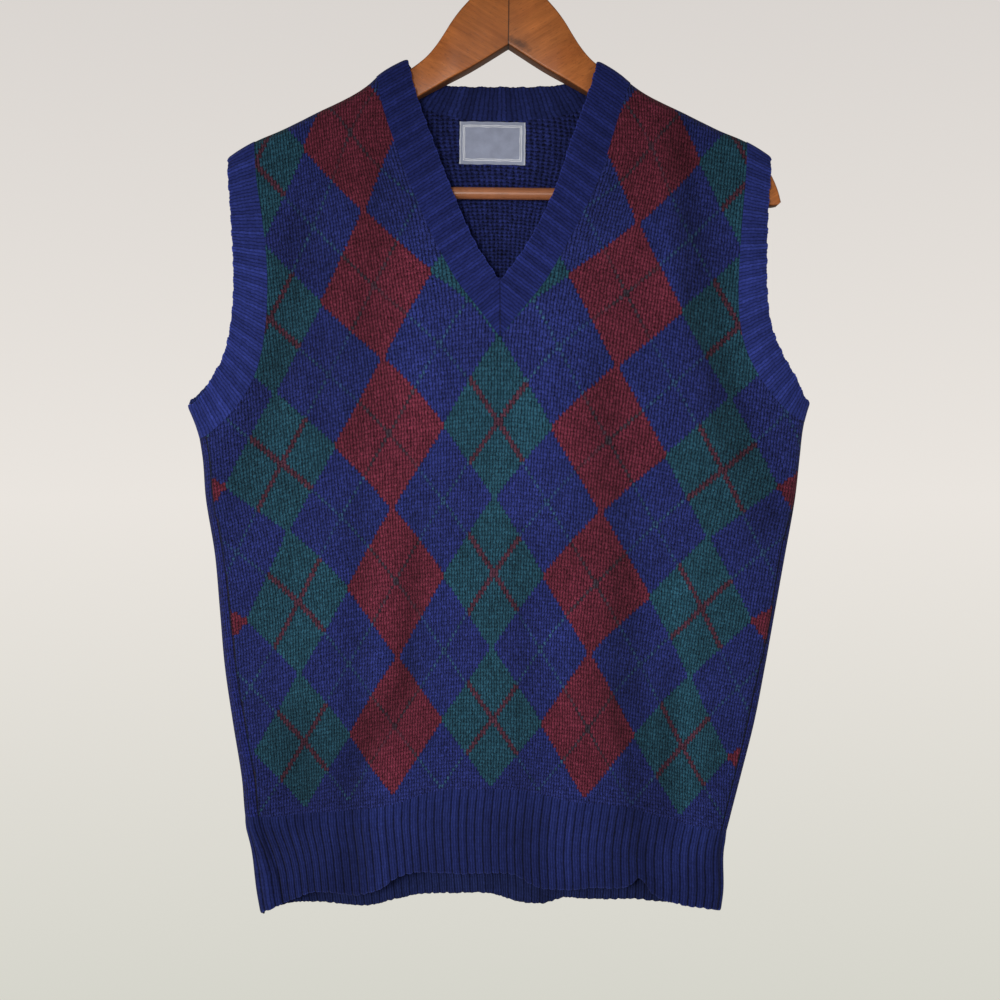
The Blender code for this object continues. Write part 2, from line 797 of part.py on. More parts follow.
def add_hem(name, face):
    """The rib below a panel, from its seam to the hem."""
    count = 2 * HEM_RIBS
    columns = []
    for i in range(count + 1):
        share = i / count
        top_u = mix(HEM_KNOTS[0], HEM_KNOTS[-1], share)
        top_v = hem_seam(top_u) - SEAM_GAP * MM / 2
        seen = mix(side_fold(RIGHT, HEM_FOOT * MM), side_fold(LEFT, HEM_FOOT * MM), share)
        column = []
        for down in HEM_ROWS:
            v = mix(top_v, HEM_ENDS[face].at(seen), down)
            drift = [side_seam(side, v)[0] - side_seam(side, top_v)[0] for side in (RIGHT, LEFT)]
            column.append((face, top_u + mix(*drift, share), v, rib_rise(i, HEM_RIB_HEIGHT)))
        columns.append(column)
    return knit_wall(name, [(columns, False)], "navy rib")


def add_armband(name, side):
    """The closed ring of rib round one armhole."""
    seam, edge = ARM_SEAMS[side], ARM_EDGES[side]
    half = ARM_RIBS
    columns = []
    for i in range(2 * half):
        face = FRONT if i <= half else BACK
        share = i / half if face == FRONT else 2 - i / half
        near = drawn_in(seam, share, -side)
        if share in (0.0, 1.0):
            near = seam.at(share)
        rise = rib_rise(i, BAND_RIB_HEIGHT)
        columns.append([(face, *near, rise), (face, *edge.at(share), rise)])
    return knit_wall(name, [(columns, True)], "navy rib")


def mitre_share(side):
    """How far up the seam the square-cut ribs first clear the mitre."""
    seam, corner = NECK_SEAMS[side], NECK_EDGES[side].at(0.0)
    tip = seam.at(0.0)
    run_u, run_v = seam.heading(MITRE_HEADING)
    return ((corner[0] - tip[0]) * run_u + (corner[1] - tip[1]) * run_v) / seam.length


def neck_column(side, share):
    """Seam and free edge of the front neckband at one share of its seam, cut off by the mitre."""
    seam, edge = NECK_SEAMS[side], NECK_EDGES[side]
    near = drawn_in(seam, share, -side)
    clear = mitre_share(side)
    if share >= clear:
        return near, edge.at((share - clear) / (1 - clear))
    run_u, run_v = seam.heading(max(share, LEAST_HEADING))
    mitre = CENTRE + side * SEAM_GAP * MM / 2
    reach = (mitre - near[0]) / (-side * run_v)
    return near, (mitre, near[1] + reach * side * run_u)


def add_neckband(name):
    """One strip from the mitre, over the shoulder and round the back neck, to the mitre again."""
    columns = []
    step = 0
    side_steps, back_steps = 2 * NECK_SIDE_RIBS, 2 * NECK_BACK_RIBS
    for i in range(1, side_steps):
        columns.append((FRONT, *neck_column(RIGHT, i / side_steps)))
    for i in range(back_steps + 1):
        near = drawn_in(BACK_SEAM, i / back_steps, -1)
        if i in (0, back_steps):
            near = BACK_SEAM.at(i / back_steps)
        columns.append((BACK, near, BACK_EDGE.at(i / back_steps)))
    for i in range(side_steps - 1, 0, -1):
        columns.append((FRONT, *neck_column(LEFT, i / side_steps)))
    sheet = []
    for face, near, far in columns:
        rise = rib_rise(step, BAND_RIB_HEIGHT)
        sheet.append([(face, *near, rise), (face, *far, rise)])
        step += 1
    return knit_wall(name, [(sheet, False)], "navy rib")


def add_label(name):
    """The woven label, lying on the inside of the back."""
    columns_count, rows_count = LABEL_STEPS
    outside, inside, faces = [], [], []
    for i in range(columns_count + 1):
        for j in range(rows_count + 1):
            across = (i / columns_count - 0.5) * LABEL_WIDTH
            up = (j / rows_count - 0.5) * LABEL_HEIGHT
            u = LABEL_CENTRE[0] + across * math.cos(LABEL_TURN) - up * math.sin(LABEL_TURN)
            v = LABEL_CENTRE[1] + across * math.sin(LABEL_TURN) + up * math.cos(LABEL_TURN)
            at, out = cloth_point(BACK, u * MM, v * MM), cloth_normal(BACK, u * MM, v * MM)
            inside.append(at - out * (WALL + SEAM_GAP) * MM)
            outside.append(at - out * (WALL + SEAM_GAP + LABEL_THICKNESS) * MM)
    row = rows_count + 1
    for i in range(columns_count):
        for j in range(rows_count):
            corner = i * row + j
            faces.append((corner, corner + row, corner + row + 1, corner + 1))
    return close_wall(name, outside, inside, faces, "woven label")


# ---------------------------------------------------------------- the hanger

def outline_mesh(name, points, half_thickness):
    """A flat outline in the XZ plane, thickened both ways along Y."""
    curve = bpy.data.curves.new(name, "CURVE")
    curve.dimensions = "2D"
    curve.fill_mode = "BOTH"
    curve.extrude = half_thickness
    spline = curve.splines.new("POLY")
    spline.points.add(len(points) - 1)
    for point, (x, z) in zip(spline.points, points):
        point.co = (x, z, 0.0, 1.0)
    spline.use_cyclic_u = True
    holder = bpy.data.objects.new(name, curve)
    bpy.context.scene.collection.objects.link(holder)
    mesh = bpy.data.meshes.new_from_object(holder.evaluated_get(bpy.context.evaluated_depsgraph_get()))
    bpy.data.objects.remove(holder)
    work = bmesh.new()
    work.from_mesh(mesh)
    bmesh.ops.remove_doubles(work, verts=work.verts, dist=1e-6)
    bmesh.ops.dissolve_limit(work, angle_limit=0.01, verts=work.verts, edges=work.edges)
    for vert in work.verts:
        vert.co = Vector((vert.co.x, -vert.co.z, vert.co.y))
    bmesh.ops.recalc_face_normals(work, faces=work.faces)
    work.to_mesh(mesh)
    work.free()
    return mesh


def hanger_outline():
    """The whole wooden body, both arms, seen from the front."""
    arm = [(x * MM, z * MM) for x, z in HANGER_TOP + HANGER_END]
    lower = HANGER_NOTCH - HANGER_LOWER_DROP
    arm.append((HANGER_LOWER_RUN * MM, lower * MM))
    other = [(-x, z) for x, z in reversed(arm) if x > 0]
    return arm + [(0.0, HANGER_NOTCH * MM)] + other


def add_cutter(name, mesh_maker, location, turn=(0.0, 0.0, 0.0)):
    """A shape that only cuts others."""
    work = bmesh.new()
    mesh_maker(work)
    mesh = bpy.data.meshes.new(name)
    work.to_mesh(mesh)
    work.free()
    cutter = bpy.data.objects.new(name, mesh)
    cutter.location = location
    cutter.rotation_euler = turn
    cutter.hide_render = True
    cutter.display_type = "WIRE"
    CUTTERS.objects.link(cutter)
    cutter.parent = HANGER
    return cutter


def cut(target, cutter, operation="DIFFERENCE"):
    boolean = target.modifiers.new(cutter.name, "BOOLEAN")
    boolean.operation = operation
    boolean.object = cutter


def saw_block(side):
    """A block over one arm, which stops short of the glued joint by half a gap."""
    def make(work):
        bmesh.ops.create_cube(work, size=1.0)
        bmesh.ops.scale(work, vec=Vector(SAW_BLOCK) * MM, verts=work.verts)

    name = "saw_left" if side == LEFT else "saw_right"
    middle = side * (SAW_BLOCK[0] + GLUE_GAP) / 2
    return add_cutter(name, make, (middle * MM, 0.0, SAW_BLOCK_HEIGHT * MM))


def drill(name, radius, length, location, turn=(0.0, 0.0, 0.0)):
    """A round cutter, which stands along Z until it is turned."""
    def make(work):
        bmesh.ops.create_cone(
            work, cap_ends=True, segments=BAR_SIDES, radius1=radius, radius2=radius, depth=length
        )

    return add_cutter(name, make, location, turn)


def add_arms():
    """The wooden body: rounded as one, sawn at the glued joint, bored for the hook and the bar."""
    hook_bore = drill(
        "hook_bore", (WIRE_RADIUS + FIT) * MM, HOOK_BORE_LENGTH * MM,
        (0.0, 0.0, (SHANK_FOOT - FIT + HOOK_BORE_LENGTH / 2) * MM),
    )
    for side, name in ((RIGHT, "hanger_arm_right"), (LEFT, "hanger_arm_left")):
        mesh = outline_mesh(name, hanger_outline(), HANGER_THICKNESS * MM / 2)
        arm = add_object(name, mesh, "varnished wood")
        arm.parent = HANGER
        bevel = arm.modifiers.new("rounding", "BEVEL")
        bevel.width = HANGER_ROUNDING * MM
        bevel.segments = HANGER_ROUNDING_STEPS
        bevel.limit_method = "ANGLE"
        bevel.angle_limit = math.radians(60)
        cut(arm, saw_block(side), "INTERSECT")
        cut(arm, hook_bore)
        middle = side * (BAR_TENON_END + FIT - BAR_SOCKET_LENGTH / 2)
        socket = drill(
            "bar_socket_left" if side == LEFT else "bar_socket_right",
            (BAR_TENON_RADIUS + FIT) * MM, BAR_SOCKET_LENGTH * MM,
            (middle * MM, 0.0, BAR_HEIGHT * MM), (0.0, math.pi / 2, 0.0),
        )
        cut(arm, socket)


def add_bar():
    """The round bar, turned down to a tenon at each end."""
    profile = (
        (0.0, BAR_TENON_END),
        (BAR_TENON_RADIUS, BAR_TENON_END),
        (BAR_TENON_RADIUS, BAR_SHOULDER),
        (BAR_RADIUS, BAR_SHOULDER),
        (BAR_RADIUS, -BAR_SHOULDER),
        (BAR_TENON_RADIUS, -BAR_SHOULDER),
        (BAR_TENON_RADIUS, -BAR_TENON_END),
        (0.0, -BAR_TENON_END),
    )
    mesh = bpy.data.meshes.new("hanger_bar")
    points = [(radius * MM, 0.0, along * MM) for radius, along in profile]
    mesh.from_pydata(points, [(i, i + 1) for i in range(len(points) - 1)], [])
    bar = add_object("hanger_bar", mesh, "varnished wood")
    bar.parent = HANGER
    bar.location = (0.0, 0.0, BAR_HEIGHT * MM)
    bar.rotation_euler = (0.0, math.pi / 2, 0.0)
    screw = bar.modifiers.new("turned", "SCREW")
    screw.steps = BAR_SIDES
    screw.render_steps = BAR_SIDES
    screw.use_merge_vertices = True
    screw.merge_threshold = 0.00001
    screw.use_smooth_shade = True


def add_hook():
    """The steel wire: a round bend over the rail, an easy curve back, and a shank in the wood."""
    reach = (BEND_RADIUS + WIRE_RADIUS) * MM
    middle = Vector((0.0, 0.0, -BEND_RADIUS * MM))
    points = []
    for i in range(BEND_STEPS + 1):
        angle = mix(BEND_START, BEND_END, i / BEND_STEPS)
        points.append(middle + Vector((math.cos(angle), 0.0, math.sin(angle))) * reach)
    leave = points[-1]
    for i in range(1, SWEEP_STEPS + 1):
        share = i / SWEEP_STEPS
        ease = share * share * (3 - 2 * share)
        points.append(Vector((mix(leave.x, 0.0, ease), 0.0, mix(leave.z, SWEEP_FOOT * MM, share))))
    points.append(Vector((0.0, 0.0, SHANK_FOOT * MM)))
    curve = bpy.data.curves.new("hanger_hook", "CURVE")
    curve.dimensions = "3D"
    curve.bevel_depth = WIRE_RADIUS * MM
    curve.bevel_resolution = 2
    curve.use_fill_caps = True
    spline = curve.splines.new("POLY")
    spline.points.add(len(points) - 1)
    for point, at in zip(spline.points, points):
        point.co = (*at, 1.0)
    hook = bpy.data.objects.new("hanger_hook", curve)
    hook.data.materials.append(material("steel wire"))
    VEST.objects.link(hook)
    hook.parent = HANGER


# ---------------------------------------------------------------- the whole

def fresh_collection(name):
    made = bpy.data.collections.new(name)
    bpy.context.scene.collection.children.link(made)
    return made


def add_tipped_empty():
    """The hanger tips a little about the rail, because the vest hangs off its middle."""
    empty = bpy.data.objects.new("hanger", None)
    empty.rotation_euler = (0.0, HANGER_TIP, 0.0)
    VEST.objects.link(empty)
    return empty


for leftover in list(bpy.data.objects):
    bpy.data.objects.remove(leftover)

VEST = fresh_collection("sweater_vest")
CUTTERS = fresh_collection("cutters")
HANGER = add_tipped_empty()

add_panel("front_panel", FRONT)
add_panel("back_panel", BACK)
add_hem("front_hem_rib", FRONT)
add_hem("back_hem_rib", BACK)
add_neckband("neckband")
add_armband("armband_right", RIGHT)
add_armband("armband_left", LEFT)
add_label("neck_label")
add_arms()
add_bar()
add_hook()
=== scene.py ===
"""A knitted V-neck sweater vest with an argyle front, hanging on a wooden hanger.

The packed model is the frame. Each operator makes one piece, or one group of like pieces, over it.
"""

import math
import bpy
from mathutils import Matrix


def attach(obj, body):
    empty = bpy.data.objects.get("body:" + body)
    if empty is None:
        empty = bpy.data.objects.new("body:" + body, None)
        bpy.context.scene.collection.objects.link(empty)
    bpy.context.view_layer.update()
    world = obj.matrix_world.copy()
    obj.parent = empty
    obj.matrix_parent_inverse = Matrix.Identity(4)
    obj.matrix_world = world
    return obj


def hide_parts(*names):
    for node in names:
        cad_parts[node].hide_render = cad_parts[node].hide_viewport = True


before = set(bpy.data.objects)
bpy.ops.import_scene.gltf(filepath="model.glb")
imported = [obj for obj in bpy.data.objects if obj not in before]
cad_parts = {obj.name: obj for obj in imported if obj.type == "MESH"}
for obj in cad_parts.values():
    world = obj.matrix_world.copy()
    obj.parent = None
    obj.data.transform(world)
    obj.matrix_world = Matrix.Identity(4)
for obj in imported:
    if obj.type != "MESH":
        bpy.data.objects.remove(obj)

from types import SimpleNamespace

import bpy
import numpy as np
from bpy.props import FloatProperty, FloatVectorProperty, IntProperty, PointerProperty
from mathutils import Vector

bl_info = {
    "name": "Argyle sweater vest",
    "version": (1, 0, 0),
    "blender": (4, 5, 0),
    "location": "3D View > Sidebar > Vest",
    "description": "Knits an argyle vest, its bands and its label over the packed frame",
    "category": "Object",
}

MM = 0.001
FRONT, BACK = -1, 1
RIGHT, LEFT = -1, 1     # the wearer's right is at -X

# ---------------------------------------------------------------- the cut (mm)

WALL = 2.3              # thickness of the knitted wall
FOLD_RADIUS = 9.6       # of the cloth at its side folds and over the shoulders
NECK_CENTRE = -6.0      # where the middle of the neck is, across

# The side folds: height, wearer's right, wearer's left
SIDE_FOLDS = (
    (-330.0, -300.0, 285.0), (-380.0, -276.0, 261.0), (-415.6, -260.9, 245.8),
    (-433.6, -253.5, 241.3), (-456.4, -249.0, 238.6), (-490.7, -246.2, 234.7),
    (-536.4, -238.8, 226.6), (-582.2, -234.7, 218.4), (-627.9, -230.7, 210.2),
    (-673.6, -224.1, 201.3), (-719.3, -216.8, 189.8), (-753.6, -213.5, 181.0),
    (-776.5, -208.0, 175.6), (-810.8, -203.7, 175.1), (-828.7, -200.5, 172.7),
)
# The ridge of the shoulders: distance from the neck's centre, height
SHOULDER_RIDGE = (
    (0.0, -131.0), (70.0, -131.5), (77.6, -133.9), (89.8, -139.6), (98.0, -145.3),
    (106.1, -152.8), (114.3, -158.8), (122.5, -163.7), (130.6, -167.8), (147.0, -175.5),
    (163.3, -183.7), (179.6, -191.6), (196.0, -198.4), (208.0, -204.6), (220.5, -213.1),
    (232.0, -222.0),
)
# The neckband's seam and free edge on the front: height, wearer's right, wearer's left
NECK_SEAM = (
    (-361.0, -6.0, -6.0), (-340.0, -21.5, 10.5), (-315.0, -41.0, 30.5), (-285.0, -57.6, 48.0),
    (-255.0, -71.3, 63.5), (-225.0, -83.3, 76.5), (-195.0, -94.3, 86.0), (-172.0, -101.5, 93.0),
)
NECK_EDGE = (
    (-314.0, -6.0, -6.0), (-283.0, -25.7, 16.0), (-240.0, -44.6, 37.4),
    (-200.0, -59.8, 50.8), (-160.0, -74.0, 65.5),
)
# Where they meet the ridge of the shoulders: across, wearer's right and left
NECK_SEAM_AT_RIDGE = (-107.0, 101.0)
NECK_EDGE_AT_RIDGE = (-82.0, 74.0)
# The neckband's seam and free edge on the back: lowest height, squareness of the corners
BACK_SEAM_CURVE = (-181.0, 2.4)
BACK_EDGE_CURVE = (-152.2, 4.6)
# Each armhole band's seam and free edge: height, then across
ARM_SEAMS_CUT = {
    RIGHT: (
        (-232.7, -203.2), (-266.2, -198.4), (-298.0, -195.0), (-330.0, -194.6), (-356.0, -196.6),
        (-380.0, -201.3), (-400.0, -208.9), (-418.0, -220.9), (-432.0, -234.4), (-440.5, -245.0),
    ),
    LEFT: (
        (-230.3, 192.8), (-260.0, 190.2), (-290.0, 188.0), (-320.0, 186.8), (-346.0, 187.8),
        (-368.0, 192.2), (-388.0, 201.2), (-405.0, 212.6), (-418.5, 225.0), (-426.5, 236.0),
    ),
}
ARM_EDGES_CUT = {
    RIGHT: (
        (-240.0, -226.6), (-273.5, -224.3), (-307.8, -222.8), (-335.0, -223.6),
        (-360.0, -227.0), (-380.0, -233.2), (-397.0, -244.5), (-408.0, -254.0),
    ),
    LEFT: (
        (-236.0, 213.4), (-264.0, 211.8), (-292.0, 211.0), (-320.0, 211.2),
        (-350.0, 214.6), (-374.0, 224.2), (-394.0, 235.5), (-408.0, 242.0),
    ),
}
# How far the free edge is set in low in the armhole, on the front and on the back, and over which
# shares of the seam that comes and goes again: start, reach
ARM_SET_IN = {RIGHT: (3.2, -2.8), LEFT: (0.0, 0.0)}
SET_IN_SHARES = ((0.82, 0.08), (0.955, 0.045))
# The ends of these paths: across at the ridge, height at the side fold
ARM_SEAM_ENDS = {RIGHT: (-205.8, -443.4), LEFT: (194.5, -430.0)}
ARM_EDGE_ENDS = {RIGHT: (-228.2, -415.6), LEFT: (215.1, -414.8)}
# Where the hem rib starts, and where it ends on each face: across, height
HEM_START = (
    (-213.5, -749.5), (-187.0, -748.7), (-161.0, -745.5), (-117.0, -742.2), (-91.0, -737.3),
    (-60.0, -727.5), (-17.0, -725.5), (14.0, -727.0), (50.0, -735.2), (94.0, -740.2),
    (127.0, -750.0), (160.0, -757.7), (181.0, -761.8),
)
HEM_END = {
    FRONT: (
        (-200.5, -830.6), (-183.3, -820.4), (-167.8, -814.6), (-153.1, -810.4), (-136.8, -810.4),
        (-118.8, -812.7), (-104.1, -809.4), (-95.9, -806.1), (-87.8, -800.2), (-79.6, -796.2),
        (-67.4, -793.4), (-46.9, -793.9), (-30.6, -794.7), (-14.3, -793.9), (7.8, -795.1),
        (15.9, -799.0), (26.5, -805.4), (39.6, -807.2), (55.1, -807.4), (67.4, -805.9),
        (83.7, -806.6), (97.6, -805.0), (105.7, -799.5), (115.0, -811.5), (136.8, -820.6),
        (161.3, -825.0), (172.7, -827.9),
    ),
    BACK: (
        (-200.5, -830.6), (-183.3, -826.4), (-169.4, -823.5), (-153.1, -823.2), (-120.4, -826.0),
        (-108.2, -826.1), (-95.9, -823.3), (-79.6, -819.3), (-67.4, -817.4), (-37.2, -816.6),
        (-14.3, -816.2), (-2.0, -818.9), (10.2, -822.8), (30.6, -824.3), (38.8, -822.8),
        (47.8, -820.0), (63.3, -820.9), (87.8, -821.4), (101.7, -820.4), (116.4, -822.4),
        (136.8, -824.2), (157.0, -826.5), (172.7, -827.9),
    ),
}
# Heights at which the side folds are read for the hem's corners, at first, and for its foot
HEM_LEVEL, HEM_FOOT = -750.0, -828.0
# The back is the wider piece and comes round each side. How far in from the fold its seam
# shows on the front: height, wearer's right, wearer's left
SIDE_SEAM = (
    (-440.0, 7.0, 0.0), (-490.0, 7.4, 0.5), (-529.0, 8.2, 5.2), (-598.0, 10.0, 3.8),
    (-639.0, 11.0, 6.3), (-713.0, 12.0, 6.6), (-750.0, 12.4, 6.0),
    (-771.0, 13.6, 5.4), (-799.0, 19.6, 4.6), (-820.0, 20.4, 4.2),
)
SIDE_SEAM_FOOT = -830.0  # the side seam is read no lower
# How far the cloth stands forward or back of the fold radius: height, front, back
BELLY = (
    (-130.0, 2.0, 0.4), (-200.0, 3.4, 0.8), (-330.0, 5.0, 1.4), (-500.0, 6.5, 2.2),
    (-700.0, 7.5, 2.8), (-830.0, 7.5, 2.8),
)
# Folds: top across, top height, foot across, foot height, half width, relief (out is positive)
FOLDS = {
    FRONT: (
        (140.0, -195.0, 157.0, -330.0, 13.0, -3.6), (157.0, -330.0, 181.0, -425.0, 14.0, -4.2),
        (181.0, -425.0, 212.0, -505.0, 15.0, -3.2), (118.0, -205.0, 132.0, -330.0, 14.0, 1.6),
        (190.0, -260.0, 205.0, -400.0, 12.0, 1.6), (-165.0, -270.0, -190.0, -390.0, 15.0, -2.6),
        (-190.0, -390.0, -222.0, -492.0, 15.0, -2.4), (-148.0, -310.0, -154.0, -460.0, 15.0, -1.4),
        (-104.0, -235.0, -122.0, -435.0, 13.0, -1.8), (-76.0, -300.0, -70.0, -430.0, 22.0, 2.0),
        (25.0, -345.0, 12.0, -500.0, 24.0, 2.0), (-74.0, -520.0, -82.0, -640.0, 8.0, -2.6),
        (-83.0, -640.0, -124.0, -705.0, 9.0, -2.8), (-102.0, -560.0, -104.0, -650.0, 14.0, 2.0),
        (-92.0, -700.0, -98.0, -800.0, 15.0, 2.2), (-127.0, -700.0, -129.0, -820.0, 11.0, -2.6),
        (-168.0, -675.0, -170.0, -735.0, 17.0, -2.6), (80.0, -405.0, 94.0, -560.0, 14.0, -2.4),
        (94.0, -560.0, 94.0, -665.0, 12.0, -3.0), (97.0, -665.0, 112.0, -820.0, 11.0, -3.4),
        (131.0, -640.0, 127.0, -745.0, 9.0, -2.8), (106.0, -600.0, 109.0, -735.0, 10.0, -1.8),
        (144.0, -570.0, 155.0, -770.0, 13.0, 2.8), (11.0, -520.0, 15.0, -820.0, 12.0, -2.0),
        (48.0, -600.0, 58.0, -790.0, 18.0, 1.2), (-120.0, -492.0, -122.0, -655.0, 14.0, -2.2),
        (-201.0, -748.0, -184.0, -812.0, 5.0, -1.7),
    ),
    BACK: (
        (-150.0, -230.0, -196.0, -440.0, 15.0, -2.6), (146.0, -215.0, 186.0, -430.0, 15.0, -2.8),
        (-70.0, -250.0, -96.0, -470.0, 20.0, 1.6), (60.0, -240.0, 84.0, -500.0, 22.0, 1.6),
        (-8.0, -300.0, -14.0, -560.0, 18.0, -1.6), (-112.0, -520.0, -122.0, -800.0, 13.0, -2.4),
        (-60.0, -580.0, -58.0, -800.0, 16.0, 1.8), (24.0, -560.0, 30.0, -820.0, 14.0, -2.2),
        (92.0, -540.0, 104.0, -800.0, 14.0, -2.4), (140.0, -610.0, 146.0, -790.0, 13.0, 2.0),
    ),
}
FOLD_FADE = 35.0        # the reach over which a fold dies away past its ends
FOLD_CUT = 0.4          # how far a trough may sink below the fold radius
FOLD_SOFTENING = 1.0    # how softly it is held there
# Small waves across cloth that hangs: length (m), height (mm), lean, start
RIPPLES = (
    (0.031, 0.22, 0.25, 0.4), (0.023, 0.16, -0.35, 2.1), (0.047, 0.30, 0.12, 4.4),
    (0.017, 0.10, 0.9, 1.3), (0.012, 0.06, -1.4, 3.0),
)
RIPPLE_DRIFT = 0.083    # height over which a wave wanders (m)

NECK_CORNER = 0.52      # share of a half back at which its neck seam meets the shoulder
LEVEL_POWER = 1.6       # how soon the rows of half a panel come level with its outer edge

# ---------------------------------------------------------------- the knit

# Where points of the argyle lie: column and row of the lattice, then across and height (mm).
# Diamonds are centred on whole numbers; even columns are green, odd ones are maroon.
ARGYLE = (
    (0, -0.5, -9.0, -361.5), (0, 0.5, -11.0, -489.1), (0, 1.5, -13.4, -611.7), (0, 2.5, -13.4, -722.1),
    (-0.5, 0, -50.5, -433.5), (0.5, 0, 35.0, -435.1), (-0.5, 1, -51.9, -553.7), (0.5, 1, 29.1, -554.5),
    (-0.5, 2, -53.7, -668.9), (0.5, 2, 28.6, -675.4), (1.5, -2, 155.0, -220.2), (1, -1.5, 103.8, -268.5),
    (0.5, -1, 49.6, -312.2), (1.5, -1, 141.1, -340.3), (1, -0.5, 88.4, -384.9), (1.5, 0, 128.4, -457.2),
    (1, 0.5, 75.1, -502.0), (1.5, 1, 116.3, -572.3), (1, 1.5, 64.8, -614.9), (1.5, 2, 102.8, -684.2),
    (1, 2.5, 60.8, -731.7), (2, -0.5, 180.4, -409.6), (2.5, 0, 219.0, -483.0), (2, 0.5, 160.9, -521.5),
    (2.5, 1, 197.2, -590.3), (2, 1.5, 147.2, -634.4), (2.5, 2, 176.5, -701.3), (2, 2.5, 140.2, -746.2),
    (-1.5, -2, -163.5, -210.8), (-1, -1.5, -115.3, -256.9), (-1.5, -1, -150.7, -334.1),
    (-0.5, -1, -63.4, -310.0), (-1, -0.5, -101.0, -377.6), (-1.5, 0, -139.4, -448.7),
    (-1, 0.5, -93.3, -500.4), (-1.5, 1, -128.5, -563.0), (-1, 1.5, -87.7, -620.7),
    (-1.5, 2, -123.7, -683.1), (-1.25, 1.75, -111.2, -651.0), (-1.25, 2.25, -114.5, -706.0),
    (-1, 2.5, -92.3, -729.6), (-2, -0.5, -188.5, -405.6),
    (-2.5, 0, -229.0, -483.4), (-2, 0.5, -177.6, -516.6), (-2.5, 1, -210.0, -591.0),
    (-2, 1.5, -169.5, -632.2), (-2.5, 2, -205.0, -697.3), (-2, 2.5, -162.8, -740.1),
    (-0.25, -0.75, -28.5, -328.0), (0.25, -0.75, 20.5, -327.0), (-0.5, -2, -94.3, -194.8),
    (-1, -2, -125.2, -190.2), (0.5, -2, 82.7, -205.6), (1, -2, 113.8, -202.0),
)
LATTICE_EASE = 0.2      # how freely the lattice may pass beside its points
PLATE_UNIT = 10         # the lattice is worked out in tenths of a metre
LAST_ROW = 2.5          # the diamonds end here, above the hem
# Diamonds beyond this column are cut by the side seams: how much shorter they are, and the row
# where they end on the wearer's right
OUTER_COLUMN, OUTER_SQUEEZE, OUTER_LAST_ROW = 2.5, 1.45, 1.5
BARE_GREEN = (0.6, -0.6)  # no lines cross the green this near the middle and above this row

WALE = 2.5              # width of a stitch beyond the side seams
HEM_RIBS = 60
HEM_COLUMNS = 8         # of the mesh, for each rib
HEM_RIB = (0.42, 1.0)   # shares of a rib that are level on top, and that stand above the groove
HEM_RIB_START = 0.12    # share of the hem over which its ribs rise below the seam
HEM_WALES, HEM_SHIFT = 3, 0.0  # to each rib, and how far they are moved along it
HEM_COURSE = 3.1        # height of a row of stitches
# Shadow in the grooves: how far from a rib's middle it starts and is full, and what is left there
HEM_GROOVE, HEM_GROOVE_SHADE = (0.34, 0.5), 0.36
HEM_ROUNDING = 0.035    # share of the hem over which its free edge is rounded
HEM_DRAWN = (0.5, 1.1)  # how far the free edge is drawn in: at the grooves, and unevenly at most
HEM_DRAWN_AT_SEAM = 0.4
HEM_SEAM_SPREAD = 1.6   # how much wider the shadow of the side seam is here
# The ribs lean in beside the side seam on the wearer's right: how far, where from the fold, over
# what reach they come upright again (mm), and how fast they lean on the way down
HEM_LEAN, HEM_LEAN_AT, HEM_LEAN_REACH, HEM_LEAN_RATE = 7.0, 14.0, 60.0, 1.3
# The bands' rib is two wales up and three down. Its values mean what the hem's do.
ARM_RIBS = 36
NECK_SIDE_RIBS = 18
NECK_BACK_RIBS = 11
ARM_COURSES, NECK_COURSES = 8, 9
BAND_COLUMNS = 24
BAND_WALES, BAND_SHIFT = 5, 0.5
BAND_RIB, BAND_DRAWN = (0.30, 0.54), (0.45, 0.9)
BAND_GROOVE_SHADE, BAND_ROUNDING = 0.79, 0.13
BAND_SINK = 0.15        # share of a rib's height by which the ribs are sunk into the wall
MITRE_EASE = 2.0        # within this of the mitre, the free edge is drawn in less
MITRE_SHARE = 0.2       # share of the front's free edge up to which the painted shadow of the mitre's seam may show
INNER_RELIEF = 0.25     # how much of a rib's height shows inside
EDGE_ROUND = 0.96       # how fully a free edge is rounded: 1 would leave it no thickness
RIM_ANGLE = math.radians(52.0)  # edges sharper than this are creased

# ---------------------------------------------------------------- the label (mm)

LABEL_SIZE, LABEL_THICKNESS = (54.0, 35.0), 0.6
LABEL_STEPS = (55, 37)  # of the mesh
LABEL_CENTRE, LABEL_TURN = (-12.3, -199.3), math.radians(-1.0)
LABEL_DOME = 0.35       # how far its middle stands off the back
LABEL_WAVE, LABEL_WAVE_REACH = 0.08, 5.0
LABEL_BORDER = ((3.1, 0.28), (4.3, 0.22))   # each line's place in from the edge, and half width
WEFT, WARP = 0.32, 0.26  # spacing of the threads

# ---------------------------------------------------------------- the hanger (mm, upright)

HANGER_TIP = math.radians(0.6)
WOOD_THICKNESS = 12.0
WOOD_SWELL = 6.0        # how much thicker the arms are beside the joint
SWELL_END, SWELL_FADE = 40.0, 28.0  # how far out that reaches, and over what it fades
WOOD_ROUNDING = 2.4
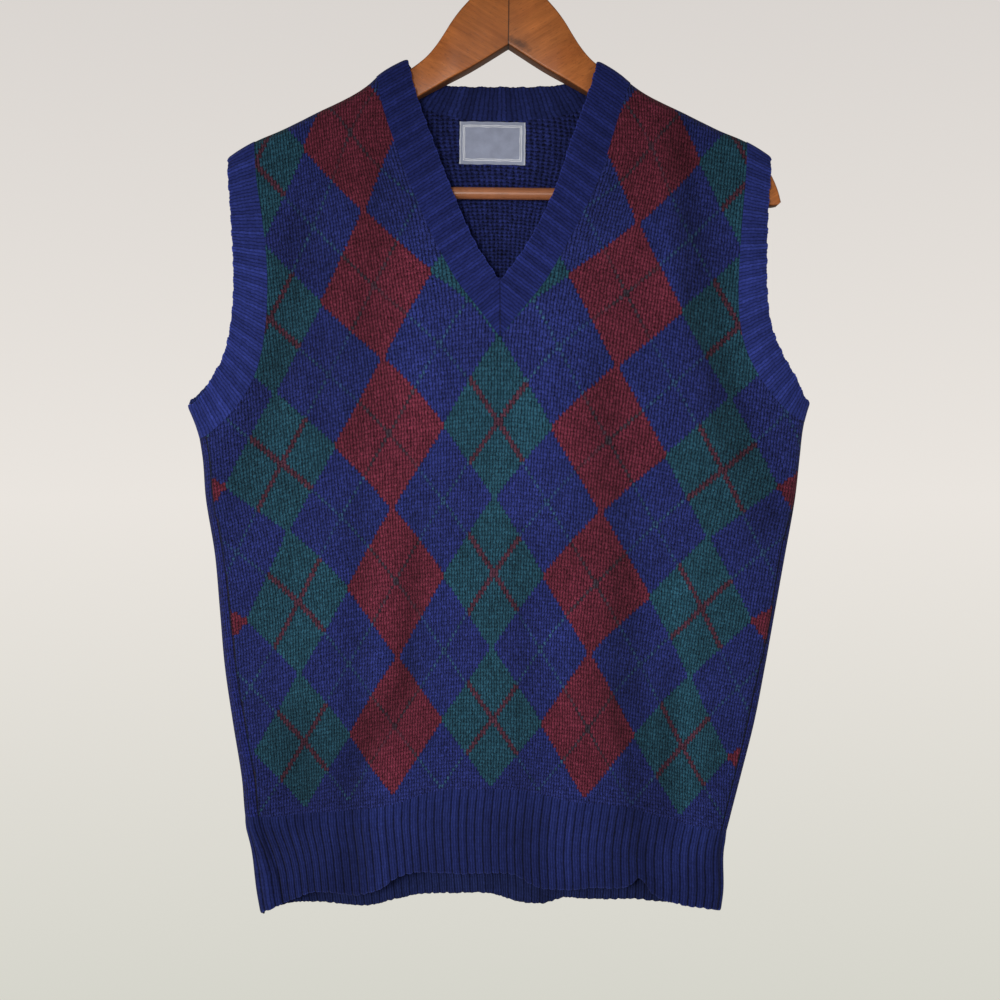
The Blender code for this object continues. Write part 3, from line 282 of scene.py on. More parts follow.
# The upper and the lower outline of an arm from the glued joint to its end: across, height
ARM_TOP = (
    (0.0, -64.5), (6.5, -64.7), (12.0, -65.9), (17.2, -68.4), (22.0, -72.9), (29.4, -83.2),
    (39.2, -94.4), (46.1, -103.7), (52.3, -113.5), (58.8, -123.0), (67.0, -132.4), (77.6, -140.9),
    (90.0, -148.9), (106.0, -158.7), (122.0, -167.7), (139.0, -176.1), (163.0, -187.4),
    (186.0, -198.3), (199.0, -205.8), (208.0, -214.6), (215.5, -226.2), (221.0, -239.0), (223.2, -247.5),
)
ARM_FOOT = (
    (0.0, -122.8), (30.0, -141.6), (50.0, -152.5), (80.0, -169.4), (120.0, -192.4), (160.0, -215.4),
    (190.0, -232.4), (200.0, -239.0), (206.0, -246.0), (211.0, -250.3), (216.0, -251.0), (220.0, -250.2),
)
ARM_SHIFT = 2.0         # the glued joint stands this far from the wire, towards the wearer's left
ARM_STEPS = 120
CORNER_STEPS = 6
# A dark stain in the varnish beside the foot of the joint: place, size (m) and lean
STAIN_PLACE, STAIN_SIZE = (0.0095, 0.0, -0.1222), (0.0105, 1.0, 0.0036)
STAIN_LEAN = math.radians(31.0)
ARM_SLOPE = math.radians(30.8)      # of the grain
BAR_TONE = (0.69, 0.83, 1.75)       # the bar's wood against that of the arms
# The grain: how fine it is along the piece, through it and across it, then its detail
GRAIN = (
    ((7.0, 90.0, 70.0), 4.0, 0.6, 0.5),     # broad bands
    ((22.0, 600.0, 420.0), 3.0, 0.7),       # fine streaks
    ((170.0, 1900.0, 1500.0), 2.0),         # pores
)

# ---------------------------------------------------------------- smooth tables

def smooth(knots, values, at):
    """Values of a smooth curve through the knots, straight beyond its ends."""
    knots, values, at = (np.asarray(a, float) for a in (knots, values, at))
    slopes = np.diff(values) / np.diff(knots)
    bends = np.concatenate((slopes[:1], (slopes[:-1] + slopes[1:]) / 2, slopes[-1:]))
    i = np.clip(np.searchsorted(knots, at, side="right") - 1, 0, len(knots) - 2)
    gap = knots[i + 1] - knots[i]
    t = np.clip((at - knots[i]) / gap, 0.0, 1.0)
    curve = (
        values[i] * (2 * t ** 3 - 3 * t ** 2 + 1) + values[i + 1] * (3 * t ** 2 - 2 * t ** 3)
        + bends[i] * gap * (t ** 3 - 2 * t ** 2 + t) + bends[i + 1] * gap * (t ** 3 - t ** 2)
    )
    before = slopes[0] * np.minimum(at - knots[0], 0.0)
    after = slopes[-1] * np.maximum(at - knots[-1], 0.0)
    return curve + before + after


def table(rows, column=1):
    """One column of a table as a smooth function of its first, in metres."""
    rows = np.array(sorted(rows)) * MM
    return lambda at: smooth(rows[:, 0], rows[:, column], at)


def mix(a, b, share):
    return a + (b - a) * share


def paired(first, second):
    """Two grids as one grid of pairs, each spread to the shape of both."""
    return np.stack(np.broadcast_arrays(first, second), -1)


def ease(value):
    """A soft step from 0 to 1."""
    value = np.clip(value, 0.0, 1.0)
    return value * value * (3 - 2 * value)


R = FOLD_RADIUS * MM
LEAST_DEPTH = R - FOLD_CUT * MM
QUARTER = R * math.pi / 2
SPARE = QUARTER - R
CENTRE = NECK_CENTRE * MM
SIDES = {RIGHT: table(SIDE_FOLDS, 1), LEFT: table(SIDE_FOLDS, 2)}
RIDGE = table(SHOULDER_RIDGE)
BELLIES = {FRONT: table(BELLY, 1), BACK: table(BELLY, 2)}
HEM_TOP = table(HEM_START)
HEM_FEET = {face: table(rows) for face, rows in HEM_END.items()}
SEAM_INSETS = {RIGHT: table(SIDE_SEAM, 1), LEFT: table(SIDE_SEAM, 2)}


# ---------------------------------------------------------------- the cloth as one surface

def ridge_height(x):
    return RIDGE(np.abs(x - CENTRE))


def roll(run):
    """For cloth that runs so far in from a fold: how far in it lies, and its share of full depth."""
    angle = np.clip(run / R, -math.pi / 2, math.pi / 2)
    flat = run >= QUARTER
    return np.where(flat, run - SPARE, R * (1 - np.cos(angle))), np.where(flat, 1.0, np.sin(angle))


def unroll(inset):
    """The run of cloth from a fold to a point that lies so far in from it."""
    inset = np.asarray(inset, float)
    return np.where(inset >= R, inset + SPARE, R * np.arccos(1 - np.clip(inset, 0.0, R) / R))


def laid_flat(side, x, z):
    """Across and up the flat cloth, for points seen at x and z on one side of the vest."""
    fold, ridge = SIDES[side](z), ridge_height(x)
    return fold + side * SPARE - side * unroll(side * (fold - x)), ridge + SPARE - unroll(ridge - z)


def fold_relief(face, x, z):
    """How far the folds lift the cloth at x and z."""
    total = np.zeros_like(x)
    for row in FOLDS[face]:
        x0, z0, x1, z1, half_width, relief = (value * MM for value in row)
        run_x, run_z = x1 - x0, z1 - z0
        length = math.hypot(run_x, run_z)
        along = ((x - x0) * run_x + (z - z0) * run_z) / length
        off = ((x - x0) * run_z - (z - z0) * run_x) / length
        past = np.maximum(0.0, np.maximum(-along, along - length)) / (FOLD_FADE * MM)
        total += relief * np.exp(-(off / half_width) ** 2 - (1.8 * past) ** 2)
    return total


def ripple(face, x, z):
    """The small unevenness of knitted cloth that hangs, in metres."""
    total = np.zeros_like(x)
    for wave, height, lean, start in RIPPLES:
        drift = 1.2 * np.sin(z / RIPPLE_DRIFT + start * 3 + face)
        total += height * MM * np.sin((x + lean * z) * 2 * math.pi / wave + start + drift)
    return total


def depth(face, x, z):
    """Half the thickness of the hanging vest at x and z."""
    right, left = SIDES[RIGHT](z), SIDES[LEFT](z)
    middle, half = (right + left) / 2, (left - right) / 2
    share = np.maximum(0.0, 1 - ((x - middle) / half) ** 2)
    relief = fold_relief(face, x, z) * np.minimum(1.0, 3 * share) + ripple(face, x, z) * share
    over = R + BELLIES[face](z) * share + relief - LEAST_DEPTH
    return LEAST_DEPTH + (over + np.hypot(over, FOLD_SOFTENING * MM)) / 2


def cloth_points(face, u, v):
    """The outside of the cloth, at u across and v up the flat cloth."""
    right, left = SIDES[RIGHT](v), SIDES[LEFT](v)
    run_right, run_left = u - right + SPARE, left + SPARE - u
    at_right = run_right < run_left
    inset, side_share = roll(np.where(at_right, run_right, run_left))
    x = np.where(at_right, right + inset, left - inset)
    ridge = ridge_height(x)
    inset, top_share = roll(ridge + SPARE - v)
    z = ridge - inset
    return np.stack((x, face * depth(face, x, z) * side_share * top_share, z), -1)


def cloth_normals(face, u, v):
    """Outwards from the cloth."""
    step = 0.4 * MM
    across = cloth_points(face, u + step, v) - cloth_points(face, u - step, v)
    up = cloth_points(face, u, v + step) - cloth_points(face, u, v - step)
    normal = np.cross(across, up) * -face
    return normal / np.linalg.norm(normal, axis=-1, keepdims=True)


# ---------------------------------------------------------------- edges of the pieces

class Path:
    """A path on the flat cloth, read by its share of the whole length."""

    def __init__(self, points):
        self.points = np.array(points, float)
        steps = np.linalg.norm(np.diff(self.points, axis=0), axis=1)
        self.run = np.concatenate(([0.0], np.cumsum(steps)))
        self.length = self.run[-1]
        self.shares = self.run / self.length

    def at(self, share):
        place = np.asarray(share, float) * self.length
        return np.stack([smooth(self.run, self.points[:, axis], place) for axis in (0, 1)], -1)

    def heading(self, share):
        """The direction of the path, as unit steps."""
        run = self.at(np.asarray(share) + 0.002) - self.at(np.asarray(share) - 0.002)
        return run / np.linalg.norm(run, axis=-1, keepdims=True)


def end_of(side, pair):
    return pair[0 if side == RIGHT else 1] * MM


def neck_path(side, rows, at_ridge):
    """From the point of the V up to the ridge of the shoulder."""
    x = end_of(side, at_ridge)
    points = [(row[1 if side == RIGHT else 2] * MM, row[0] * MM) for row in rows]
    points.append((x, ridge_height(x)))
    return Path([laid_flat(side, *point) for point in points])


def back_neck_path(curve, at_ridge):
    """Across the back neck, from the ridge on the wearer's right to that on the left."""
    low, power = curve[0] * MM, curve[1]
    points = []
    for swing in -np.cos(np.linspace(0.0, math.pi, 25)):
        end = end_of(LEFT if swing > 0 else RIGHT, at_ridge)
        x, top = CENTRE + abs(swing) * (end - CENTRE), ridge_height(end)
        z = low + (top - low) * abs(swing) ** power
        ridge = ridge_height(x)
        points.append((x, ridge + SPARE - unroll(ridge - z)))
    return Path(points)


def arm_path(side, rows, ends):
    """From the ridge of the shoulder down the front of an armhole to the side fold."""
    x, z = ends[0] * MM, ends[1] * MM
    points = [(x, ridge_height(x)), *((row[1] * MM, row[0] * MM) for row in rows), (SIDES[side](z), z)]
    return Path([laid_flat(side, *point) for point in points])


NECK_SEAMS = {side: neck_path(side, NECK_SEAM, NECK_SEAM_AT_RIDGE) for side in (RIGHT, LEFT)}
NECK_EDGES = {side: neck_path(side, NECK_EDGE, NECK_EDGE_AT_RIDGE) for side in (RIGHT, LEFT)}
BACK_SEAM = back_neck_path(BACK_SEAM_CURVE, NECK_SEAM_AT_RIDGE)
BACK_EDGE = back_neck_path(BACK_EDGE_CURVE, NECK_EDGE_AT_RIDGE)
ARM_SEAMS = {side: arm_path(side, ARM_SEAMS_CUT[side], ARM_SEAM_ENDS[side]) for side in (RIGHT, LEFT)}
ARM_EDGES = {side: arm_path(side, ARM_EDGES_CUT[side], ARM_EDGE_ENDS[side]) for side in (RIGHT, LEFT)}


def panel_side(side, v):
    """Across the flat cloth at the fold, where a panel ends at the side."""
    return SIDES[side](v) + side * SPARE


def hem_corner(side):
    """Where the hem's seam meets the side seam, across the flat cloth."""
    u = SIDES[side](HEM_LEVEL * MM)
    for _ in range(6):
        u = panel_side(side, HEM_TOP(u))
    return float(u)


HEM_CORNERS = {side: hem_corner(side) for side in (RIGHT, LEFT)}


def past_seam(u, v):
    """How far points of the front lie inside its side seams, in metres, and less than 0 beyond them."""
    off = []
    for side in (RIGHT, LEFT):
        inset = unroll(SEAM_INSETS[side](np.maximum(v, SIDE_SEAM_FOOT * MM)))
        off.append(side * (panel_side(side, v) - u) - inset)
    return np.minimum(*off)


# ---------------------------------------------------------------- the argyle's lattice

class Lattice:
    """Column and row of the argyle, anywhere on the flat cloth: a thin plate bent through its points."""

    def __init__(self, rows):
        rows = np.array(rows, float)
        places = [laid_flat(LEFT if x > NECK_CENTRE else RIGHT, x * MM, z * MM) for x, z in rows[:, 2:]]
        self.places = np.array(places) * PLATE_UNIT
        count = len(rows)
        plate = np.zeros((count + 3, count + 3))
        plate[:count, :count] = self.bend(self.places) + LATTICE_EASE * np.eye(count)
        plate[:count, count] = 1.0
        plate[:count, count + 1:] = self.places
        plate[count:, :count] = plate[:count, count:].T
        self.weights = np.linalg.solve(plate, np.vstack((rows[:, :2], np.zeros((3, 2)))))

    def bend(self, places):
        gaps = ((places[:, None] - self.places[None]) ** 2).sum(-1)
        return 0.5 * gaps * np.log(gaps + 1e-12)

    def at(self, u, v):
        places = np.stack((np.ravel(u), np.ravel(v)), -1) * PLATE_UNIT
        terms = np.hstack((self.bend(places), np.ones((len(places), 1)), places))
        return (terms @ self.weights).reshape(*np.shape(u), 2)


LATTICE = Lattice(ARGYLE)


# ---------------------------------------------------------------- walls of knitted cloth

def quads_of(index):
    """The faces between the points of a grid."""
    return np.stack((index[:-1, :-1], index[1:, :-1], index[1:, 1:], index[:-1, 1:]), -1).reshape(-1, 4)


def turn_outwards(mesh):
    """Flips the faces if the closed surface encloses less than nothing."""
    mesh.calc_loop_triangles()
    points = np.array([v.co for v in mesh.vertices])
    a, b, c = (points[[t.vertices[i] for t in mesh.loop_triangles]] for i in range(3))
    if (a * np.cross(b, c)).sum() < 0:
        mesh.flip_normals()


def closed_piece(name, points, faces, marks, material):
    """A smooth closed piece, with its marks kept on its points."""
    mesh = bpy.data.meshes.new(name)
    mesh.from_pydata(points.tolist(), [], faces)
    turn_outwards(mesh)
    for mark, values in marks.items():
        kind, field = ("FLOAT_VECTOR", "vector") if values.ndim == 2 else ("FLOAT", "value")
        mesh.attributes.new(mark, kind, "POINT").data.foreach_set(field, values.ravel())
    mesh.shade_smooth()
    mesh.set_sharp_from_angle(angle=RIM_ANGLE)
    mesh.materials.append(material)
    made = bpy.data.objects.new(name, mesh)
    bpy.context.scene.collection.objects.link(made)
    return made


class Cloth:
    """Gathers grids of cloth that has two sides, and makes them one closed piece."""

    NO_MARK = {"inset": 1.0, "fold": 0.0, "brim": 1.0}

    def __init__(self, name):
        self.name = name
        self.outside, self.inside, self.stitches, self.faces = [], [], [], []
        self.marks = {mark: [] for mark in self.NO_MARK}
        self.count = 0

    def add(self, outside, inside, stitches, closed=False, **marks):
        """A grid of (column, row) points on both sides of the cloth, with its stitch counts.

        The marks are in metres: inset is how far a point lies inside a seam, fold is how far the
        folds lift it, and brim is how far it lies from the free edge.
        """
        columns, rows = stitches.shape[:2]
        for kept, given in ((self.outside, outside), (self.inside, inside), (self.stitches, stitches)):
            kept.append(given.reshape(columns * rows, -1))
        for mark, missing in self.NO_MARK.items():
            given = marks.get(mark)
            given = missing if given is None else given
            self.marks[mark].append(np.broadcast_to(given, (columns, rows)).ravel())
        index = np.arange(columns * rows).reshape(columns, rows) + self.count
        if closed:
            index = np.vstack((index, index[:1]))
        self.faces.append(quads_of(index))
        self.count += columns * rows

    def add_knit(self, face, u, v, stitches, rise=0.0, dent=0.0, **others):
        """Knitted wall over a grid of flat cloth. rise lifts its outside, and dent its inside."""
        face = np.broadcast_to(face, u.shape)
        at, out = np.zeros((*u.shape, 3)), np.zeros((*u.shape, 3))
        for one in (FRONT, BACK):
            here = face == one
            if here.any():
                at[here] = cloth_points(one, u[here], v[here])
                out[here] = cloth_normals(one, u[here], v[here])
        rise, dent = (np.broadcast_to(lift, u.shape)[..., None] for lift in (rise, dent))
        relief = [fold_relief(one, at[..., 0], at[..., 2]) for one in (FRONT, BACK)]
        fold = np.where(face == FRONT, *relief)
        self.add(at + out * rise, at - out * (WALL * MM - dent), stitches, fold=fold, **others)

    def build(self, material):
        """The closed piece. Its stitch mark holds the counts, and 0 outside or 1 inside."""
        outside, inside = np.vstack(self.outside), np.vstack(self.inside)
        keys = np.round(np.hstack((outside, inside)), 6)
        _, first, same = np.unique(keys, axis=0, return_index=True, return_inverse=True)
        faces = same.ravel()[np.vstack(self.faces)]
        edges = np.stack((faces, np.roll(faces, -1, axis=1)), -1).reshape(-1, 2)
        _, where, uses = np.unique(np.sort(edges, axis=1), axis=0, return_index=True, return_counts=True)
        rims = edges[where[uses == 1]]
        offset = len(first)
        rim_faces = np.stack((rims[:, 1], rims[:, 0], rims[:, 0] + offset, rims[:, 1] + offset), -1)
        everything = np.vstack((faces, faces[:, ::-1] + offset, rim_faces))
        counts = np.tile(np.vstack(self.stitches)[first], (2, 1))
        marks = {"stitch": np.column_stack((counts, np.repeat((0.0, 1.0), offset)))}
        for mark, grids in self.marks.items():
            marks[mark] = np.tile(np.concatenate(grids)[first] / MM, 2)
        points = np.vstack((outside[first], inside[first]))
        return closed_piece(self.name, points, everything.tolist(), marks, material)


def stand_in(made, node):
    """Puts a piece on the body in place of its solid."""
    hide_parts(node)
    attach(made, "root")
    return made


def worn(made, node):
    """Puts a knitted piece in place of its solid."""
    stand_in(made, node)
    return made


# ---------------------------------------------------------------- the panels

def panel_shares():
    """Shares across half a panel, and down it to the underarm and on to the hem.

    They are closer together at the side and at the shoulder, where the cloth turns.
    """
    across = np.unique(np.concatenate((
        np.linspace(0.0, NECK_CORNER, 34), np.linspace(NECK_CORNER, 0.9, 26), np.linspace(0.9, 1.0, 16),
    )))
    upper = np.unique(np.concatenate((np.linspace(0.0, 0.08, 12), np.linspace(0.08, 1.0, 56))))
    return across, upper, np.linspace(0.0, 1.0, 84)[1:]


def on_ridge(u):
    """Points of the shoulder seam."""
    return paired(u, ridge_height(u) + SPARE)


def outer_edge(side):
    """Down the armhole's seam from the shoulder, and on down the side seam to the hem."""
    _, upper, lower = panel_shares()
    seam = ARM_SEAMS[side].at(upper)
    seam[0] = on_ridge(seam[0, 0])
    seam[-1, 0] = panel_side(side, seam[-1, 1])
    below = mix(seam[-1, 1], HEM_TOP(HEM_CORNERS[side]), lower)
    return Path(np.vstack((seam, paired(panel_side(side, below), below))))


def front_edges(side, outer, across, upper, lower):
    """The front's neck seam and centre line, and its shoulder seam."""
    inner = NECK_SEAMS[side].at(1 - upper)
    inner[0] = on_ridge(inner[0, 0])
    inner[-1, 0] = CENTRE
    inner = np.vstack((inner, paired(CENTRE, mix(inner[-1, 1], HEM_TOP(CENTRE), lower))))
    return inner, on_ridge(mix(inner[0, 0], outer[0, 0], across))


def back_edges(side, outer, across):
    """The back's centre line, and its neck seam with its shoulder seam."""
    rows = (outer_edge(RIGHT).shares + outer_edge(LEFT).shares) / 2
    inner = paired(CENTRE, mix(BACK_SEAM.at(0.5)[1], HEM_TOP(CENTRE), rows))
    neck = across <= NECK_CORNER
    seam = BACK_SEAM.at(0.5 + side * across[neck] / NECK_CORNER / 2)
    seam[0, 0] = CENTRE
    seam[-1] = on_ridge(seam[-1, 0])
    past_neck = (across[~neck] - NECK_CORNER) / (1 - NECK_CORNER)
    return inner, np.vstack((seam, on_ridge(mix(seam[-1, 0], outer[0, 0], past_neck))))


def half_panel(face, side):
    """Half a panel of flat cloth as a grid, filled between its four edges."""
    across, upper, lower = panel_shares()
    edge = outer_edge(side)
    outer = edge.points
    if face == FRONT:
        inner, top = front_edges(side, outer, across, upper, lower)
    else:
        inner, top = back_edges(side, outer, across)
    a, s = across[:, None], edge.shares[None]
    level = 1 - (1 - a) ** LEVEL_POWER
    feet = mix(inner[-1, 0], outer[-1, 0], across)
    foot_off = HEM_TOP(feet) - mix(inner[-1, 1], outer[-1, 1], level[:, 0])
    head_off_u = top[:, 0] - mix(inner[0, 0], outer[0, 0], across)
    head_off_v = top[:, 1] - mix(inner[0, 1], outer[0, 1], level[:, 0])
    u = mix(inner[None, :, 0], outer[None, :, 0], a) + head_off_u[:, None] * (1 - s) ** 2
    v = mix(inner[None, :, 1], outer[None, :, 1], level)
    v = v + head_off_v[:, None] * (1 - s) ** 2 + foot_off[:, None] * s ** 2
    u[0], v[0] = inner[:, 0], inner[:, 1]
    return u, v


def knit_panel(name, face, material, node):
    """The front or the back, in two halves that share the centre line."""
    cloth = Cloth(name)
    grids = [half_panel(face, side) for side in (RIGHT, LEFT)]
    grids[0] = [grid[::-1] for grid in grids[0]]
    for u, v in grids:
        stitches = LATTICE.at(u, v) * bpy.context.scene.vest_knit.stitches
        inset = None
        if face == FRONT:
            inset = past_seam(u, v)
            stitches[..., 0] = np.where(inset < 0, inset / (WALE * MM), stitches[..., 0])
        cloth.add_knit(face, u, v, stitches, inset=inset)
    return worn(cloth.build(material), node)


# ---------------------------------------------------------------- the ribs

def rib(count, level, foot):
    """Height of a rib from 0 to 1 over a count of ribs: the shares that are level, and above the groove."""
    off = np.abs(count - np.floor(count) - 0.5) * 2
    return 1 - ease((off - level) / (foot - level))


def rib_relief(height, high, down, rounding, sink=0.0):
    """How far ribs lift the outside of a wall and dent its inside, with its free edge rounded."""
    past = np.clip((down - 1 + rounding) / rounding, 0.0, 1.0)
    thin = (1 - np.sqrt(1 - (EDGE_ROUND * past) ** 2)) * WALL * MM / 2
    return height * (high - sink) - thin, thin - INNER_RELIEF * height * (1 - high)


def drawn_in(high, at_groove, most, seed):
    """How far a free edge is drawn in at each column (mm): in the grooves, and never quite evenly."""
    draw = np.random.default_rng(seed).random(len(high))
    draw = (draw + np.roll(draw, 1) * 0.6 + np.roll(draw, -1) * 0.6) / 2.2
    return at_groove * (1 - high) + draw * most


def knit_hem(name, face, material, node):
    """The rib below a panel, from its seam to the hem."""
    share = np.linspace(0.0, 1.0, HEM_RIBS * HEM_COLUMNS + 1)[:, None]
    down = np.concatenate((np.linspace(0.0, 0.94, 15), (0.96, 0.975, 0.987, 0.995, 1.0)))[None]
    high = rib(share * HEM_RIBS, *HEM_RIB)
    drawn = drawn_in(high[:, 0], *HEM_DRAWN, 5 + face)
    drawn[[0, -1]] = HEM_DRAWN_AT_SEAM
    top_u = mix(HEM_CORNERS[RIGHT], HEM_CORNERS[LEFT], share)
    top_v = HEM_TOP(top_u)
    seen = mix(SIDES[RIGHT](HEM_FOOT * MM), SIDES[LEFT](HEM_FOOT * MM), share)
    foot_v = HEM_FEET[face](seen) + drawn[:, None] * MM
    v = mix(top_v, foot_v, down)
    drift = [panel_side(side, v) - panel_side(side, top_v) for side in (RIGHT, LEFT)]
    u = top_u + mix(*drift, share)
    inset = None
    if face == FRONT:
        off = (u - panel_side(RIGHT, v)) / MM
        lean = ease(off / HEM_LEAN_AT) * (1 - ease((off - HEM_LEAN_AT) / HEM_LEAN_REACH))
        u = u + HEM_LEAN * MM * lean * ease(down * HEM_LEAN_RATE)
        inset = past_seam(u, v) / HEM_SEAM_SPREAD
    height = bpy.context.scene.vest_knit.hem_rib_height
    rise, dent = rib_relief(height, high * ease(down / HEM_RIB_START), down, HEM_ROUNDING)
    stitches = paired(share * HEM_RIBS, (top_v - v) / (HEM_COURSE * MM))
    cloth = Cloth(name)
    cloth.add_knit(face, u, v, stitches, rise, dent, inset=inset, brim=v - foot_v)
    return worn(cloth.build(material), node)


def knit_band(name, face, near, far, count, courses, material, node, mitred=False, set_in=0.0):
    """A ribbed band from its seam to its free edge: a closed ring, or a strip mitred at its two ends.

    set_in moves the free edge towards the seam (mm).
    """
    down = np.concatenate((np.linspace(0.0, 0.84, 8), (0.9, 0.94, 0.97, 0.99, 1.0)))[None]
    high = rib(count, *BAND_RIB)
    drawn = drawn_in(high, *BAND_DRAWN, len(count)) + set_in
    if mitred:
        drawn *= ease(np.abs(far[:, 0] - CENTRE) / (MITRE_EASE * MM))
    across = near - far
    far = far + across / np.linalg.norm(across, axis=1)[:, None] * drawn[:, None] * MM
    u, v = (mix(near[:, [axis]], far[:, [axis]], down) for axis in (0, 1))
    inset = None
    # Near the mitre, inset holds the distance from it, so that a painted shadow marks the mitre's seam.
    if mitred:
        by_mitre = (face[:, None] == FRONT) & (v < NECK_EDGES[RIGHT].at(MITRE_SHARE)[1])
        inset = np.where(by_mitre, np.abs(u - CENTRE), 1.0)
    width = np.median(np.linalg.norm(near - far, axis=1))
    height = bpy.context.scene.vest_knit.band_rib_height
    rise, dent = rib_relief(height, high[:, None], down, BAND_ROUNDING, BAND_SINK)
    cloth = Cloth(name)
    cloth.add_knit(
        face[:, None], u, v, paired(count[:, None], down * courses), rise, dent,
        closed=not mitred, inset=inset, brim=(1 - down) * width,
    )
    return worn(cloth.build(material), node)


def knit_armband(name, side, material, node):
    """The closed ring round one armhole: down the front from the shoulder, and up the back."""
    count = np.arange(ARM_RIBS * BAND_COLUMNS) / BAND_COLUMNS
    share = count / ARM_RIBS * 2
    face = np.where(share <= 1.0, FRONT, BACK)
    share = np.where(share <= 1.0, share, 2 - share)
    comes, goes = (ease((share - start) / reach) for start, reach in SET_IN_SHARES)
    set_in = np.where(face == FRONT, *ARM_SET_IN[side]) * comes * (1 - goes)
    near, far = ARM_SEAMS[side].at(share), ARM_EDGES[side].at(share)
    return knit_band(name, face, near, far, count, ARM_COURSES, material, node, set_in=set_in)


def neck_columns(side, share):
    """Seam and free edge of the front neckband at shares of its seam, cut off by the mitre."""
    seam, edge = NECK_SEAMS[side], NECK_EDGES[side]
    near = seam.at(share)
    clear = float(((edge.at(0.0) - seam.at(0.0)) * seam.heading(0.03)).sum() / seam.length)
    far = edge.at(np.maximum(share - clear, 0.0) / (1 - clear))
    run = seam.heading(np.maximum(share, 0.01))
    reach = (CENTRE - near[:, 0]) / (-side * run[:, 1])
    cut = paired(CENTRE, near[:, 1] + reach * side * run[:, 0])
    return near, np.where((share >= clear)[:, None], far, cut)


def knit_neckband(name, material, node):
    """One strip from the mitre, over the shoulder and round the back neck, to the mitre again."""
    side_steps, back_steps = NECK_SIDE_RIBS * BAND_COLUMNS, NECK_BACK_RIBS * BAND_COLUMNS
    side_share = np.arange(1, side_steps) / side_steps
    back_share = np.arange(back_steps + 1) / back_steps
    near_r, far_r = neck_columns(RIGHT, side_share)
    near_l, far_l = neck_columns(LEFT, side_share[::-1])
    near = np.vstack((near_r, BACK_SEAM.at(back_share), near_l))
    far = np.vstack((far_r, BACK_EDGE.at(back_share), far_l))
    face = np.repeat((FRONT, BACK, FRONT), (len(near_r), len(back_share), len(near_l)))
    count = np.concatenate((
        side_share * NECK_SIDE_RIBS,
        NECK_SIDE_RIBS + back_share * NECK_BACK_RIBS,
        2 * NECK_SIDE_RIBS + NECK_BACK_RIBS - side_share[::-1] * NECK_SIDE_RIBS,
    ))
    return knit_band(name, face, near, far, count, NECK_COURSES, material, node, mitred=True)


# ---------------------------------------------------------------- shader nodes

class Nodes:
    """A tree of shader nodes, built up node by node."""

    def __init__(self, tree):
        self.nodes, self.links = tree.nodes, tree.links

    def feed(self, socket, value):
        if isinstance(value, bpy.types.NodeSocket):
            self.links.new(value, socket)
        else:
            socket.default_value = (*value, 1.0) if socket.type == "RGBA" and len(value) == 3 else value

    def node(self, kind, inputs=(), output=0, **settings):
        made = self.nodes.new("ShaderNode" + kind)
        for name, value in settings.items():
            setattr(made, name, value)
        for socket, value in dict(inputs).items():
            if value is not None:
                self.feed(made.inputs[socket], value)
        return made.outputs[output]

    def math(self, operation, a, b=None, c=None):
        return self.node("Math", {0: a, 1: b, 2: c}, operation=operation)

    def times(self, first, *others):
        for other in others:
            first = self.math("MULTIPLY", first, other)
        return first

    def vector_math(self, operation, a, b=None, scale=None, output=0):
        return self.node("VectorMath", {0: a, 1: b, "Scale": scale}, output, operation=operation)

    def mix(self, share, a, b, blend="MIX"):
        return self.node("Mix", {0: share, 6: a, 7: b}, 2, data_type="RGBA", blend_type=blend)

    def vector(self, x, y, z=0.0):
        return self.node("CombineXYZ", {0: x, 1: y, 2: z})

    def parts(self, vector):
        return tuple(self.node("SeparateXYZ", {0: vector}).node.outputs)

    def range(self, value, low, high, to_low=0.0, to_high=1.0):
        return self.node("MapRange", {0: value, 1: low, 2: high, 3: to_low, 4: to_high})


class Finish(Nodes):
    """A procedural material."""

    def __init__(self, name, roughness=0.5, metallic=0.0, **constants):
        old = bpy.data.materials.get(name)
        if old:
            bpy.data.materials.remove(old)
        self.material = bpy.data.materials.new(name)
        self.material.use_nodes = True
        super().__init__(self.material.node_tree)
        self.shader = self.nodes["Principled BSDF"]
        self.shader.inputs["Roughness"].default_value = roughness
        self.shader.inputs["Metallic"].default_value = metallic
        for socket, value in constants.items():
            self.shader.inputs[socket.replace("_", " ")].default_value = value

    def place(self, scale=(1.0, 1.0, 1.0), turn=(0.0, 0.0, 0.0)):
        at = self.node("TexCoord", output=3)
        return self.node("Mapping", {"Vector": at, "Rotation": turn, "Scale": scale})

    def mark(self, name, output=2):
        """What the mesh keeps on its points: a number, or with output 1 a vector."""
        return self.node("Attribute", output=output, attribute_name=name)

    def noise(self, at, scale, detail=2.0, roughness=0.5, distortion=0.0, output=0):
        inputs = {"Vector": at, "Scale": scale, "Detail": detail, "Roughness": roughness}
        return self.node("TexNoise", {**inputs, "Distortion": distortion}, output)

    def chance(self, *count):
        """A random number for each whole count."""
        return self.node("TexWhiteNoise", {0: self.vector(*count)})

    def bump(self, height, distance, strength=1.0, under=None):
        inputs = {"Height": height, "Distance": distance, "Strength": strength, "Normal": under}
        return self.node("Bump", inputs)

    def shaded(self, shade, *dimmings):
        """A shade times each dimming: a value, its low and high, and what the two stand for."""
        return self.times(shade, *(self.range(*dimming) for dimming in dimmings))

    def dimmed(self, colour, shade, blue=None):
        """A colour times a shade, which may be another one for its blue."""
        blue = shade if blue is None else blue
        return self.mix(1.0, colour, self.vector(shade, shade, blue), "MULTIPLY")

    def wear(self, colour=None, normal=None, roughness=None):
        """Joins the finished colour, normal and roughness to the shader."""
        for socket, value in (("Base Color", colour), ("Normal", normal), ("Roughness", roughness)):
            if value is not None:
                self.feed(self.shader.inputs[socket], value)
        return self.material


# ---------------------------------------------------------------- the knit's finish

